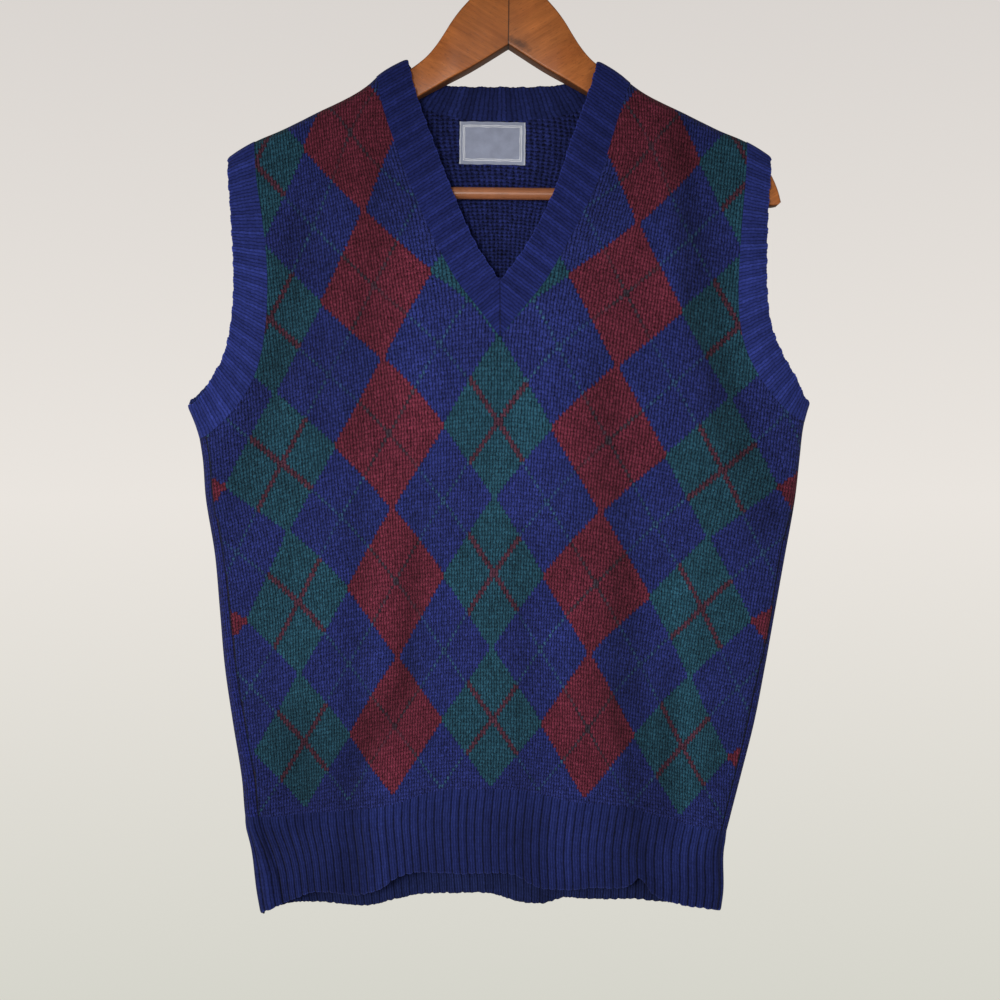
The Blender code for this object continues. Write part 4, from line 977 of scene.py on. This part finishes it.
WOOL = {"roughness": 0.92, "Sheen_Weight": 0.04, "Sheen_Roughness": 0.5, "Specular_IOR_Level": 0.1}
PILE = (1400.0, 2.0, 0.6)   # how fine the wool's pile is
# Less light reaches the troughs of the folds than their ridges: their relief (mm), then the shade
FOLD_SHADE = (-3.6, 2.4, 0.62, 1.14)


def loosened(finish, place, give, hair):
    """Wale, course and side at a point, shifted so that no two stitches are alike and all are hairy."""
    moved = finish.mark("stitch", 1)
    for scale, detail, roughness, reach in ((160.0, 2.0, 0.7, give), (900.0, 1.0, 0.5, hair)):
        drift = finish.noise(place, scale, detail, roughness, output=1)
        drift = finish.vector_math("SUBTRACT", drift, (0.5, 0.5, 0.5))
        drift = finish.vector_math("MULTIPLY", drift, (reach, reach, 0.0))
        moved = finish.vector_math("ADD", moved, drift)
    return finish.parts(moved)


def off_middle(finish, count):
    """How far a point lies from the middle of its stitch or rib."""
    return finish.math("ABSOLUTE", finish.math("SUBTRACT", finish.math("FRACT", count), 0.5))


def stitch_at(finish, wale, course, slant):
    """Column and row of the stitch at a point, and the place in it, where its legs lean by slant."""
    off = off_middle(finish, wale)
    leaning = finish.math("MULTIPLY_ADD", off, slant, course)
    return SimpleNamespace(
        column=finish.math("FLOOR", wale), row=finish.math("FLOOR", leaning),
        off=off, along=finish.math("FRACT", leaning),
    )


def leg_height(finish, stitch, fullness, crease, arch):
    """Relief of the two legs of a plain stitch: round across, with a crease between, low at their ends.

    crease holds its half width and its height, and arch how far a leg rises and where it starts.
    """
    hump = finish.math("COSINE", finish.math("MULTIPLY", stitch.off, math.pi))
    hump = finish.math("POWER", finish.math("MAXIMUM", hump, 0.0), fullness)
    ends = finish.math("SINE", finish.math("MULTIPLY", stitch.along, math.pi))
    ends = finish.math("POWER", finish.math("MAXIMUM", ends, 0.0), 0.6)
    middle = finish.range(stitch.off, 0.0, *crease, 1.0)
    return finish.times(hump, middle, finish.math("MULTIPLY_ADD", ends, *arch))


def purl_height(finish, wale, course):
    """Relief of the purl bumps inside."""
    beat = finish.math("COSINE", finish.math("MULTIPLY", wale, 2 * math.pi))
    arcs = finish.math("MULTIPLY_ADD", beat, 0.09, course)
    wave = finish.math("SINE", finish.math("MULTIPLY", arcs, 2 * math.pi))
    beads = finish.math("MULTIPLY_ADD", beat, -0.24, finish.math("MULTIPLY_ADD", wave, 0.24, 0.52))
    return finish.math("MAXIMUM", beads, 0.0)


def seam_groove_and_shadow(finish, inset):
    """1 on the line where two pieces are linked, and 0 away from it. The knit's relief sinks into a groove
    there, and shadow is painted along the seam.
    """
    return finish.range(finish.math("ABSOLUTE", inset), 0.2, 1.0, 1.0, 0.0)


def knit_finish(name, yarn, argyle=False):
    """Stockinette in one yarn, or with the argyle worked into it."""
    finish = Finish(name, **WOOL)
    place = finish.place()
    wale, course, side = loosened(finish, place, 0.9, 0.9)
    stitch = stitch_at(finish, wale, course, 0.75)
    plain = leg_height(finish, stitch, 0.85, (0.12, 0.66), (0.66, 0.36))
    inside = finish.math("GREATER_THAN", side, 0.5)
    purl = purl_height(finish, wale, course)
    height = finish.node("Mix", {0: inside, 2: plain, 3: purl}, data_type="FLOAT")
    inset = finish.mark("inset")
    colour = tuple(yarn)
    if argyle:
        colour = argyle_colour(finish, stitch, inside, height)
        beyond = finish.range(inset, -0.1, 0.1, 1.0, 0.0)
        colour = finish.mix(beyond, colour, bpy.context.scene.vest_knit.back_navy)
    # Along a seam the relief sinks into a groove, which bumps it and also darkens it with painted shadow.
    height = finish.math("SUBTRACT", height, finish.times(seam_groove_and_shadow(finish, inset), 0.42))
    pile = finish.noise(place, *PILE)
    # Partly painted shade: darker where the stitches' relief is low, between their legs and at their ends,
    # in the troughs of the folds and inside the vest. The random factors are the yarn's own uneven tone.
    shade = finish.shaded(
        finish.math("MAXIMUM", finish.math("MULTIPLY_ADD", height, 1.85, -0.03), 0.1),
        (finish.chance(stitch.column, stitch.row, side), 0.0, 1.0, 0.78, 1.22),
        (pile, 0.3, 0.7, 0.7, 1.36), (finish.noise(place, 26.0, 3.0, 0.6), 0.3, 0.7, 0.9, 1.1),
        (inside, 0.0, 1.0, 1.0, 0.82), (finish.mark("fold"), *FOLD_SHADE),
    )
    # Inside the vest, the painted shade also takes out some blue.
    colour = finish.dimmed(colour, shade, finish.shaded(shade, (inside, 0.0, 1.0, 1.0, 0.8)))
    relief = finish.bump(height, 0.75 * MM, 0.9)
    return finish.wear(colour, finish.bump(pile, 0.25 * MM, 0.6, relief))


def argyle_colour(finish, stitch, inside, height):
    """Diamonds of two yarns on the ground, crossed by fine lines, one stitch at a time."""
    knit = bpy.context.scene.vest_knit
    count = float(knit.stitches)
    across, down = (
        finish.math("DIVIDE", finish.math("ADD", whole, 0.5), count)
        for whole in (stitch.column, stitch.row)
    )
    column = finish.math("ROUND", across)
    off_across = finish.math("ABSOLUTE", finish.math("SUBTRACT", across, column))
    off_down = finish.math("ABSOLUTE", finish.math("SUBTRACT", down, finish.math("ROUND", down)))
    outer = finish.math("GREATER_THAN", finish.math("ABSOLUTE", column), OUTER_COLUMN)
    off_down = finish.shaded(off_down, (outer, 0.0, 1.0, 1.0, OUTER_SQUEEZE))
    body = finish.math("LESS_THAN", stitch.row, LAST_ROW * count)
    inner = finish.math("GREATER_THAN", across, -OUTER_COLUMN)
    kept = finish.math("MAXIMUM", inner, finish.math("LESS_THAN", down, OUTER_LAST_ROW))
    diamond = finish.math("LESS_THAN", finish.math("ADD", off_across, off_down), 0.5 + 0.25 / count)
    diamond = finish.times(diamond, body, kept)
    odd = finish.math("FLOORED_MODULO", column, 2.0)
    maroon = finish.times(diamond, odd)
    green = finish.times(diamond, finish.math("SUBTRACT", 1.0, odd))
    turns = []
    for sign, shift in (("ADD", 1.0), ("SUBTRACT", 0.0)):
        beat = finish.math("ADD", finish.math(sign, stitch.column, stitch.row), shift)
        turns.append(finish.math("FLOORED_MODULO", beat, count))
    thin, wide = (
        finish.math("MAXIMUM", *(finish.math("LESS_THAN", turn, width) for turn in turns))
        for width in (0.5, 1.5)
    )
    raised = finish.math("MAXIMUM", finish.range(height, 0.35, 0.95), maroon)
    patchy = finish.range(finish.noise(finish.place(), 34.0, 2.0, 0.6), 0.36, 0.54, 0.5, 1.0)
    dotted = finish.times(thin, body, raised, patchy, finish.math("SUBTRACT", 1.0, green))
    beside, below = ((finish.math("ABSOLUTE", across), BARE_GREEN[0]), (down, BARE_GREEN[1]))
    crossed = finish.math("MAXIMUM", *(finish.math("GREATER_THAN", *pair) for pair in (beside, below)))
    solid = finish.times(wide, green, crossed)
    colour = finish.mix(diamond, knit.navy, finish.mix(odd, knit.green, knit.maroon))
    colour = finish.mix(dotted, colour, finish.mix(maroon, knit.green_line, knit.dark_line))
    colour = finish.mix(solid, colour, knit.red_line)
    return finish.mix(inside, colour, knit.navy)


def rib_finish(name, yarn, wales_per_rib, shift, groove, shadow):
    """Ribbing: rows of stitches along each rib, and shadow down in the grooves.

    shift moves the wales so that one starts where a rib does. groove holds how far from a rib's
    middle its shadow starts and is full, and shadow is the share of light left there.
    """
    finish = Finish(name, **WOOL)
    place = finish.place()
    ribs, course, side = loosened(finish, place, 0.16, 0.12)
    wale = finish.math("MULTIPLY_ADD", ribs, float(wales_per_rib), shift)
    stitch = stitch_at(finish, wale, course, 0.7)
    height = leg_height(finish, stitch, 0.8, (0.16, 0.74), (0.3, 0.7))
    # A painted highlight along the rolled free edge, on the outside only.
    brim = finish.range(finish.mark("brim"), 0.25, 1.3, 1.0, 0.0)
    lip_highlight = finish.times(brim, finish.math("SUBTRACT", 1.0, side))
    pile = finish.noise(place, *PILE)
    # Partly painted light: shade where the stitches' relief is low, in the grooves, along seams, inside the
    # band and in the troughs of the folds, and a highlight on the rolled free edge. The random factors are
    # the yarn's own uneven tone.
    shade = finish.shaded(
        finish.math("MULTIPLY_ADD", height, 0.95, 0.36),
        (finish.range(off_middle(finish, ribs), *groove), 0.0, 1.0, 1.0, shadow),
        # painted shadow along the side seam and the mitre's seam
        (seam_groove_and_shadow(finish, finish.mark("inset")), 0.0, 1.0, 1.0, 0.4),
        (finish.chance(stitch.column, stitch.row), 0.0, 1.0, 0.88, 1.12),
        (finish.chance(stitch.column, 7.0), 0.0, 1.0, 0.88, 1.12),
        (pile, 0.3, 0.7, 0.84, 1.18), (side, 0.0, 1.0, 1.0, 0.92),
        (finish.noise(place, 30.0, 3.0), 0.3, 0.7, 0.88, 1.12),
        (lip_highlight, 0.0, 1.0, 1.0, 1.9), (finish.mark("fold"), *FOLD_SHADE),
    )
    # Inside the band, the painted shade also takes out some blue.
    colour = finish.dimmed(tuple(yarn), shade, finish.shaded(shade, (side, 0.0, 1.0, 1.0, 0.84)))
    relief = finish.bump(height, 0.55 * MM, 0.8)
    return finish.wear(colour, finish.bump(pile, 0.25 * MM, 0.6, relief))


# ---------------------------------------------------------------- the label

def weave_label(name, material):
    """A thin woven label on the inside of the back, a little domed between its stitched ends."""
    spans = (np.linspace(-0.5, 0.5, steps) * size for steps, size in zip(LABEL_STEPS, LABEL_SIZE))
    across, up = np.meshgrid(*spans, indexing="ij")
    u = (LABEL_CENTRE[0] + across * math.cos(LABEL_TURN) - up * math.sin(LABEL_TURN)) * MM
    v = (LABEL_CENTRE[1] + across * math.sin(LABEL_TURN) + up * math.cos(LABEL_TURN)) * MM
    at, out = cloth_points(BACK, u, v), cloth_normals(BACK, u, v)
    edge = np.maximum(np.abs(across) / LABEL_SIZE[0], np.abs(up) / LABEL_SIZE[1]) * 2
    lift = LABEL_DOME * (1 - edge ** 4) + LABEL_WAVE * np.sin(across / LABEL_WAVE_REACH) * (1 - edge ** 2)
    over = at - out * ((WALL + LABEL_THICKNESS + lift) * MM)[..., None]
    cloth = Cloth(name)
    cloth.add(over, at - out * (WALL * MM), paired(across, up))
    made = stand_in(cloth.build(material), "neck_label")
    return made


def label_finish():
    """Grey-blue damask with a pale double border and plain selvedges."""
    label = bpy.context.scene.vest_label
    finish = Finish("woven label", 0.55, Sheen_Weight=0.2, Sheen_Roughness=0.4)
    across, up, _ = finish.parts(finish.mark("stitch", 1))
    in_x, in_y = (
        finish.math("SUBTRACT", size / 2, finish.math("ABSOLUTE", off))
        for size, off in zip(LABEL_SIZE, (across, up))
    )
    inset = finish.math("MINIMUM", in_x, in_y)
    lines = []
    for place, half in LABEL_BORDER:
        off = finish.math("ABSOLUTE", finish.math("SUBTRACT", inset, place))
        lines.append(finish.range(off, half, half + 0.12, 1.0, 0.0))
    border = finish.math("MAXIMUM", *lines)
    selvedge = finish.range(in_x, 1.0, 1.3, 1.0, 0.0)
    weft = finish.math("SINE", finish.math("MULTIPLY", up, 2 * math.pi / WEFT))
    warp = finish.math("SINE", finish.math("MULTIPLY", across, 2 * math.pi / WARP))
    weave = finish.math("MULTIPLY_ADD", finish.times(weft, warp), 0.5, 0.5)
    colour = finish.mix(border, label.ground, label.border)
    colour = finish.mix(finish.times(selvedge, 0.45), colour, label.border)
    shade = finish.range(weave, 0.0, 1.0, 0.82, 1.1)
    shade = finish.shaded(shade, (finish.noise(finish.place(), 120.0, 3.0), 0.3, 0.7, 0.9, 1.1))
    height = finish.math("MULTIPLY_ADD", border, 0.8, weave)
    return finish.wear(finish.dimmed(colour, shade), finish.bump(height, 0.12 * MM, 0.7))


# ---------------------------------------------------------------- the hanger

def arm_section(width, swell):
    """The way round each section of an arm, a slab with rounded corners.

    It gives how far back and how far up each point is, and how much it faces up, from -1 to 1.
    """
    rounding = np.minimum(WOOD_ROUNDING * MM, width * 0.48)[:, None]
    half_y, half_up = (WOOD_THICKNESS + swell) * MM / 2 - rounding, width[:, None] / 2 - rounding
    back, up, edge = [], [], []
    for corner, sign_y, sign_up in ((0, 1, 1), (1, -1, 1), (2, -1, -1), (3, 1, -1)):
        for step in range(CORNER_STEPS + 1):
            angle = (corner + step / CORNER_STEPS) * math.pi / 2
            back.append(sign_y * half_y + math.cos(angle) * rounding)
            up.append(sign_up * half_up + math.sin(angle) * rounding)
            edge.append(math.sin(angle))
    return np.hstack(back), np.hstack(up), np.array(edge)


def shape_arm(name, side, material, node):
    """One arm of the wooden body: rounded sections between its two outlines, tipped with the hanger."""
    top, foot = (Path([(side * x * MM, z * MM) for x, z in rows]) for rows in (ARM_TOP, ARM_FOOT))
    share = np.linspace(0.0, 1.0, ARM_STEPS)
    high, low = top.at(share), foot.at(share)
    high[0, 0] = low[0, 0] = 0.0
    width = np.linalg.norm(high - low, axis=1)
    up = (high - low) / width[:, None]
    swell = WOOD_SWELL * (1 - ease((np.abs(high[:, :1]) / MM - SWELL_END) / SWELL_FADE))
    y, rise, edge = arm_section(width, swell)
    middle = (high + low) / 2
    x = middle[:, :1] + up[:, :1] * rise
    z = middle[:, 1:] + up[:, 1:] * rise
    points = np.stack((
        x * math.cos(HANGER_TIP) + z * math.sin(HANGER_TIP) + ARM_SHIFT * MM, y,
        z * math.cos(HANGER_TIP) - x * math.sin(HANGER_TIP),
    ), -1)
    index = np.arange(y.size).reshape(y.shape)
    after = np.roll(index, -1, axis=1)
    faces = np.stack((index[:-1], after[:-1], after[1:], index[1:]), -1).reshape(-1, 4).tolist()
    faces += [index[0].tolist(), index[-1, ::-1].tolist()]
    marks = {"joint": np.abs(x).ravel() / MM, "edge": np.tile(edge, ARM_STEPS)}
    made = closed_piece(name, points.reshape(-1, 3), faces, marks, material)
    return stand_in(made, node)


def joint_stain_and_edge_shade(finish, along, shade):
    """An arm's shade with its dark glued joint and its stain, shade painted on its underside and along its
    top edge, and the roughness of its lower edge.
    """
    off, edge = finish.mark("joint"), finish.mark("edge")
    underside = (edge, -0.72, -0.5)
    stain = finish.node("Mapping", {
        "Vector": finish.place(), "Location": STAIN_PLACE, "Rotation": (0.0, STAIN_LEAN, 0.0),
        "Scale": STAIN_SIZE,
    }, vector_type="TEXTURE")
    stain = finish.vector_math("LENGTH", stain, output=1)
    stain = finish.math("MULTIPLY_ADD", finish.noise(along, 300.0, 3.0, 0.6), 1.4, stain)
    # Painted shade: the underside much darker, and the top edge a little darker.
    shade = finish.shaded(
        shade, (off, 0.2, 0.7, 0.16, 1.0), (off, 0.0, 30.0, 0.86, 1.0), (*underside, 0.3, 1.0),
        (stain, 1.1, 1.9, 0.42, 1.0), (edge, 0.2, 0.9, 1.0, 0.6),
    )
    return shade, finish.range(*underside, 0.95, 0.0)


def wood_finish(name, lean, joined=False, tone=(1.0, 1.0, 1.0)):
    """Varnished hardwood with a quiet grain along the piece, darker at a glued joint. A joined arm also
    gets painted shade on its underside and along its top edge.
    """
    hanger = bpy.context.scene.vest_hanger
    finish = Finish(name, 0.36, Coat_Weight=0.08, Coat_Roughness=0.25, Specular_IOR_Level=0.36)
    along = finish.place(turn=(0.0, lean, 0.0))
    bands, fine, pores = (
        finish.noise(finish.node("Mapping", {"Vector": along, "Scale": scale}), 1.0, *noise)
        for scale, *noise in GRAIN
    )
    specks = finish.range(pores, 0.6, 0.7)
    dark, light = (tuple(a * b for a, b in zip(wood, tone)) for wood in (hanger.dark, hanger.light))
    colour = finish.mix(finish.range(bands, 0.18, 0.58), dark, light)
    shade = finish.shaded(
        finish.range(fine, 0.25, 0.75, 0.78, 1.16), (specks, 0.0, 1.0, 1.0, 0.62),
        (finish.noise(along, 38.0, 3.0, 0.6), 0.3, 0.7, 0.86, 1.12),
    )
    rough = finish.range(fine, 0.2, 0.8, 0.3, 0.44)
    if joined:
        shade, bare = joint_stain_and_edge_shade(finish, along, shade)
        rough = finish.math("MAXIMUM", rough, bare)
    height = finish.math("ADD", fine, finish.times(specks, -0.6))
    return finish.wear(finish.dimmed(colour, shade), finish.bump(height, 0.06 * MM, 0.5), rough)


def wire_finish():
    """Bright plated steel wire, with faint drawing marks."""
    wire = bpy.context.scene.vest_hanger.wire
    finish = Finish("plated steel wire", 0.24, 1.0)
    marks = finish.noise(finish.place(scale=(300.0, 300.0, 60.0)), 4.0, 3.0, 0.6)
    colour = finish.mix(finish.range(marks, 0.3, 0.7), tuple(0.8 * c for c in wire), wire)
    return finish.wear(colour, finish.bump(marks, 0.03 * MM, 0.4), finish.range(marks, 0.3, 0.7, 0.2, 0.34))


def refinish(node, material):
    """Gives a solid of the frame its finish."""
    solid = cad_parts[node]
    solid.data.materials.clear()
    solid.data.materials.append(material)


# ---------------------------------------------------------------- the stage

VEST_MIDDLE = (0.0, 0.0, -0.56)
# Soft lamps: name, kind, place, the point that it faces, and its settings
LAMPS = (
    ("key", "AREA", (-0.85, -1.0, -0.80), VEST_MIDDLE, {"size": 0.5, "color": (1.0, 0.97, 0.93)}),
    ("pool", "SPOT", (-0.35, -1.65, -0.35), (-0.02, 0.0, -0.50), {
        "spot_size": math.radians(33.0), "spot_blend": 1.0, "shadow_soft_size": 0.2,
    }),
    ("fill", "AREA", (0.85, -1.05, -0.75), VEST_MIDDLE, {"size": 0.6, "color": (0.94, 0.97, 1.0)}),
)
FLOOR_ROUNDING = 0.3    # radius of the floor's corners
SENSOR = 36.0


def add_camera(stage):
    """Level, square to the front, and centred on the vest."""
    lens = bpy.data.cameras.new("camera")
    lens.sensor_width = SENSOR
    lens.lens = SENSOR * stage.camera_distance / stage.camera_width
    camera = bpy.data.objects.new("camera", lens)
    camera.location = (stage.camera_across, -stage.camera_distance, stage.camera_height)
    camera.rotation_euler = (math.pi / 2, 0.0, 0.0)
    bpy.context.scene.collection.objects.link(camera)
    bpy.context.scene.camera = camera


def add_lamp(name, kind, power, place, towards, settings):
    """A lamp that faces a point."""
    data = bpy.data.lights.new(name, kind)
    for setting, value in {"energy": power, **settings}.items():
        setattr(data, setting, value)
    lamp = bpy.data.objects.new(name, data)
    lamp.location = place
    lamp.rotation_euler = (Vector(towards) - Vector(place)).to_track_quat("-Z", "Y").to_euler()
    bpy.context.scene.collection.objects.link(lamp)


def add_floor(stage):
    """A plain pale floor far below the hem, rounded at its corners."""
    points = []
    reach = stage.floor_size / 2 - FLOOR_ROUNDING
    for corner, (side_x, side_y) in enumerate(((1, 1), (-1, 1), (-1, -1), (1, -1))):
        for step in range(9):
            angle = corner * math.pi / 2 + step * math.pi / 16
            x = side_x * reach + FLOOR_ROUNDING * math.cos(angle)
            y = side_y * reach + FLOOR_ROUNDING * math.sin(angle)
            points.append((x, y, -stage.floor_drop))
    mesh = bpy.data.meshes.new("floor")
    mesh.from_pydata(points, [], [tuple(range(len(points)))])
    finish = Finish("pale floor", 0.8)
    tone = finish.range(finish.noise(finish.place(), 3.0, 2.0), 0.3, 0.7, 0.98, 1.02)
    mesh.materials.append(finish.wear(finish.dimmed(tuple(stage.floor_colour), tone)))
    floor = bpy.data.objects.new("floor", mesh)
    bpy.context.scene.collection.objects.link(floor)


def light_world(stage):
    """A pale room all round, darker low down, high up and before the vest."""
    world = bpy.data.worlds.new("pale room")
    bpy.context.scene.world = world
    world.use_nodes = True
    room = Nodes(world.node_tree)
    _, behind, height = room.parts(room.node("TexCoord"))
    ramp = room.node("ValToRGB", {0: room.math("MULTIPLY_ADD", height, 0.5, 0.5)})
    shades = (
        (0.0, stage.room_low, 0.9), (0.355, stage.room_low, 1.0), (0.5, stage.room_middle, 1.0),
        (0.645, stage.room_high, 1.0), (0.85, stage.room_high, 0.4),
    )
    stops = ramp.node.color_ramp.elements
    while len(stops) < len(shades):
        stops.new(0.5)
    for stop, (place, tone, share) in zip(stops, shades):
        stop.position, stop.color = place, (*(share * c for c in tone), 1.0)
    share = room.range(behind, -0.5, 0.6, stage.front_share, 1.0)
    air = room.nodes["Background"]
    room.feed(air.inputs["Color"], room.vector_math("SCALE", ramp, scale=share))
    air.inputs["Strength"].default_value = stage.room_light


# ---------------------------------------------------------------- settings

def colour(name, description, default):
    return FloatVectorProperty(
        name=name, description=description, default=default, subtype="COLOR", size=3, min=0.0, max=1.0
    )


def length(name, description, default, least=0.0, most=10.0):
    return FloatProperty(
        name=name, description=description, default=default, unit="LENGTH", min=least, max=most, precision=5
    )


def power(name, description, default):
    return FloatProperty(name=name, description=description, default=default, min=0.0)


class VEST_PG_knit(bpy.types.PropertyGroup):
    """Yarns and gauge"""

    stitches: IntProperty(
        name="Stitches", description="Stitches across and down one diamond", default=36, min=8, max=80
    )
    hem_rib_height: length("Hem rib", "How far the ribs of the hem stand proud", 1.2 * MM, 0.0, 0.003)
    band_rib_height: length("Band rib", "How far the ribs of the bands stand proud", 0.8 * MM, 0.0, 0.003)
    navy: colour("Ground", "Yarn of the ground", (0.0153, 0.0220, 0.115))
    maroon: colour("Maroon", "Yarn of the odd columns of diamonds", (0.101, 0.0156, 0.0300))
    green: colour("Green", "Yarn of the even columns of diamonds", (0.0130, 0.052, 0.080))
    green_line: colour("Green line", "Yarn of the dotted lines on the ground", (0.021, 0.063, 0.096))
    dark_line: colour("Dark line", "Yarn of the dotted lines on maroon", (0.034, 0.023, 0.034))
    red_line: colour("Red line", "Yarn of the lines across the green", (0.056, 0.020, 0.034))
    back_navy: colour("Back", "Yarn of the back", (0.0130, 0.0190, 0.122))
    hem_navy: colour("Hem", "Yarn of the hem rib", (0.0138, 0.0216, 0.112))
    neck_navy: colour("Neckband", "Yarn of the neckband", (0.0140, 0.0215, 0.130))
    arm_navy: colour("Armhole bands", "Yarn of the armhole bands", (0.0225, 0.0340, 0.185))


class VEST_PG_label(bpy.types.PropertyGroup):
    """The woven label"""

    ground: colour("Ground", "Threads of the label's ground", (0.29, 0.318, 0.425))
    border: colour("Border", "Threads of the label's border", (0.72, 0.74, 0.80))


class VEST_PG_hanger(bpy.types.PropertyGroup):
    """Wood and wire"""

    light: colour("Light wood", "The wood between the darker bands of its grain", (0.485, 0.148, 0.0300))
    dark: colour("Dark wood", "The darker bands of the grain", (0.35, 0.094, 0.0170))
    wire: colour("Wire", "The plating of the hook", (0.66, 0.66, 0.67))


class VEST_PG_stage(bpy.types.PropertyGroup):
    """Floor, light and camera"""

    floor_drop: length("Floor", "How far the floor lies below the rail", 1.65)
    floor_size: length("Floor size", "Width of the floor", 3.6)
    floor_colour: colour("Floor colour", "The plain floor", (0.75, 0.73, 0.69))
    room_high: colour("Room, high", "The pale room above", (0.700, 0.665, 0.635))
    room_middle: colour("Room, level", "The pale room at the height of the vest", (0.822, 0.783, 0.738))
    room_low: colour("Room, low", "The pale room below", (0.668, 0.665, 0.600))
    front_share: FloatProperty(
        name="Room, front", description="Light of the room before the vest against that behind it",
        default=0.42, min=0.0, max=1.0,
    )
    room_light: FloatProperty(name="Room light", description="Strength of the light all round", default=1.0)
    camera_distance: length("Distance", "From the camera to the side folds", 1.35)
    camera_width: length("View", "Width of the view at the side folds", 0.8165)
    camera_across: length("Across", "Where the camera stands across the vest", -0.0061, -1.0, 1.0)
    camera_height: length("Height", "Height of the camera from the rail", -0.4923, -2.0, 2.0)
    key_power: power("Key lamp", "Power of the main lamp", 3.6)
    fill_power: power("Fill lamp", "Power of the second lamp", 2.2)
    pool_power: power("Pool", "Power of the soft spot", 96.0)


# ---------------------------------------------------------------- operators

class VEST_OT_front_panel(bpy.types.Operator):
    """Knit the front, with its argyle"""

    bl_idname = "vest.front_panel"
    bl_label = "Knit front"

    def execute(self, context):
        finish = knit_finish("argyle knit", context.scene.vest_knit.navy, argyle=True)
        knit_panel("front_knit", FRONT, finish, "front_panel")
        return {"FINISHED"}


class VEST_OT_back_panel(bpy.types.Operator):
    """Knit the plain back"""

    bl_idname = "vest.back_panel"
    bl_label = "Knit back"

    def execute(self, context):
        finish = knit_finish("plain knit", context.scene.vest_knit.back_navy)
        knit_panel("back_knit", BACK, finish, "back_panel")
        return {"FINISHED"}


class VEST_OT_hem_ribs(bpy.types.Operator):
    """Knit the ribs at the foot of the front and the back"""

    bl_idname = "vest.hem_ribs"
    bl_label = "Knit hem ribs"

    def execute(self, context):
        yarn = context.scene.vest_knit.hem_navy
        finish = rib_finish("hem rib", yarn, HEM_WALES, HEM_SHIFT, HEM_GROOVE, HEM_GROOVE_SHADE)
        knit_hem("front_hem", FRONT, finish, "front_hem_rib")
        knit_hem("back_hem", BACK, finish, "back_hem_rib")
        return {"FINISHED"}


class VEST_OT_bands(bpy.types.Operator):
    """Knit the neckband and both armhole bands"""

    bl_idname = "vest.bands"
    bl_label = "Knit bands"

    def execute(self, context):
        knit = context.scene.vest_knit
        groove = [share / 2 for share in BAND_RIB]
        finish = rib_finish("neck rib", knit.neck_navy, BAND_WALES, BAND_SHIFT, groove, BAND_GROOVE_SHADE)
        knit_neckband("neck_rib", finish, "neckband")
        finish = rib_finish("arm rib", knit.arm_navy, BAND_WALES, BAND_SHIFT, groove, BAND_GROOVE_SHADE)
        knit_armband("arm_rib_right", RIGHT, finish, "armband_right")
        knit_armband("arm_rib_left", LEFT, finish, "armband_left")
        return {"FINISHED"}


class VEST_OT_label(bpy.types.Operator):
    """Weave the label inside the back neck"""

    bl_idname = "vest.label"
    bl_label = "Weave label"

    def execute(self, context):
        weave_label("back_neck_label", label_finish())
        return {"FINISHED"}


class VEST_OT_hanger(bpy.types.Operator):
    """Shape the wooden arms, and finish the bar and the wire of the hanger"""

    bl_idname = "vest.hanger"
    bl_label = "Finish hanger"

    def execute(self, context):
        right = wood_finish("varnished wood, right arm", -ARM_SLOPE, joined=True)
        shape_arm("wooden_arm_right", RIGHT, right, "hanger_arm_right")
        left = wood_finish("varnished wood, left arm", ARM_SLOPE, joined=True)
        shape_arm("wooden_arm_left", LEFT, left, "hanger_arm_left")
        bar = wood_finish("varnished wood, bar", 0.0, tone=BAR_TONE)
        refinish("hanger_bar", bar)
        refinish("hanger_hook", wire_finish())
        return {"FINISHED"}


class VEST_OT_stage(bpy.types.Operator):
    """Set the floor, the lamps and the camera"""

    bl_idname = "vest.stage"
    bl_label = "Set stage"

    def execute(self, context):
        stage = context.scene.vest_stage
        add_camera(stage)
        add_floor(stage)
        light_world(stage)
        for name, kind, *aim, settings in LAMPS:
            add_lamp(name, kind, getattr(stage, name + "_power"), *aim, settings)
        context.scene.view_settings.view_transform = "Standard"
        return {"FINISHED"}


OPERATORS = (
    VEST_OT_stage, VEST_OT_hanger, VEST_OT_front_panel, VEST_OT_back_panel, VEST_OT_hem_ribs,
    VEST_OT_bands, VEST_OT_label,
)
GROUPS = {
    "vest_knit": VEST_PG_knit, "vest_label": VEST_PG_label, "vest_hanger": VEST_PG_hanger,
    "vest_stage": VEST_PG_stage,
}


class VEST_PT_pieces(bpy.types.Panel):
    """The pieces of the vest, and their sizes and colours"""

    bl_label = "Sweater vest"
    bl_idname = "VEST_PT_pieces"
    bl_space_type = "VIEW_3D"
    bl_region_type = "UI"
    bl_category = "Vest"

    def draw(self, context):
        for operator in OPERATORS:
            self.layout.operator(operator.bl_idname)
        for name, group in GROUPS.items():
            box = self.layout.box()
            box.label(text=group.__doc__)
            for key in group.__annotations__:
                box.prop(getattr(context.scene, name), key)


def register():
    for group in GROUPS.values():
        bpy.utils.register_class(group)
    for name, group in GROUPS.items():
        setattr(bpy.types.Scene, name, PointerProperty(type=group))
    for operator in OPERATORS:
        bpy.utils.register_class(operator)
    bpy.utils.register_class(VEST_PT_pieces)


def unregister():
    bpy.utils.unregister_class(VEST_PT_pieces)
    for operator in reversed(OPERATORS):
        bpy.utils.unregister_class(operator)
    for name in GROUPS:
        delattr(bpy.types.Scene, name)
    for group in reversed(list(GROUPS.values())):
        bpy.utils.unregister_class(group)


def main():
    register()
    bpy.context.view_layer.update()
    for operator in OPERATORS:
        family, name = operator.bl_idname.split(".")
        getattr(getattr(bpy.ops, family), name)()


if __name__ == "__main__":
    main()
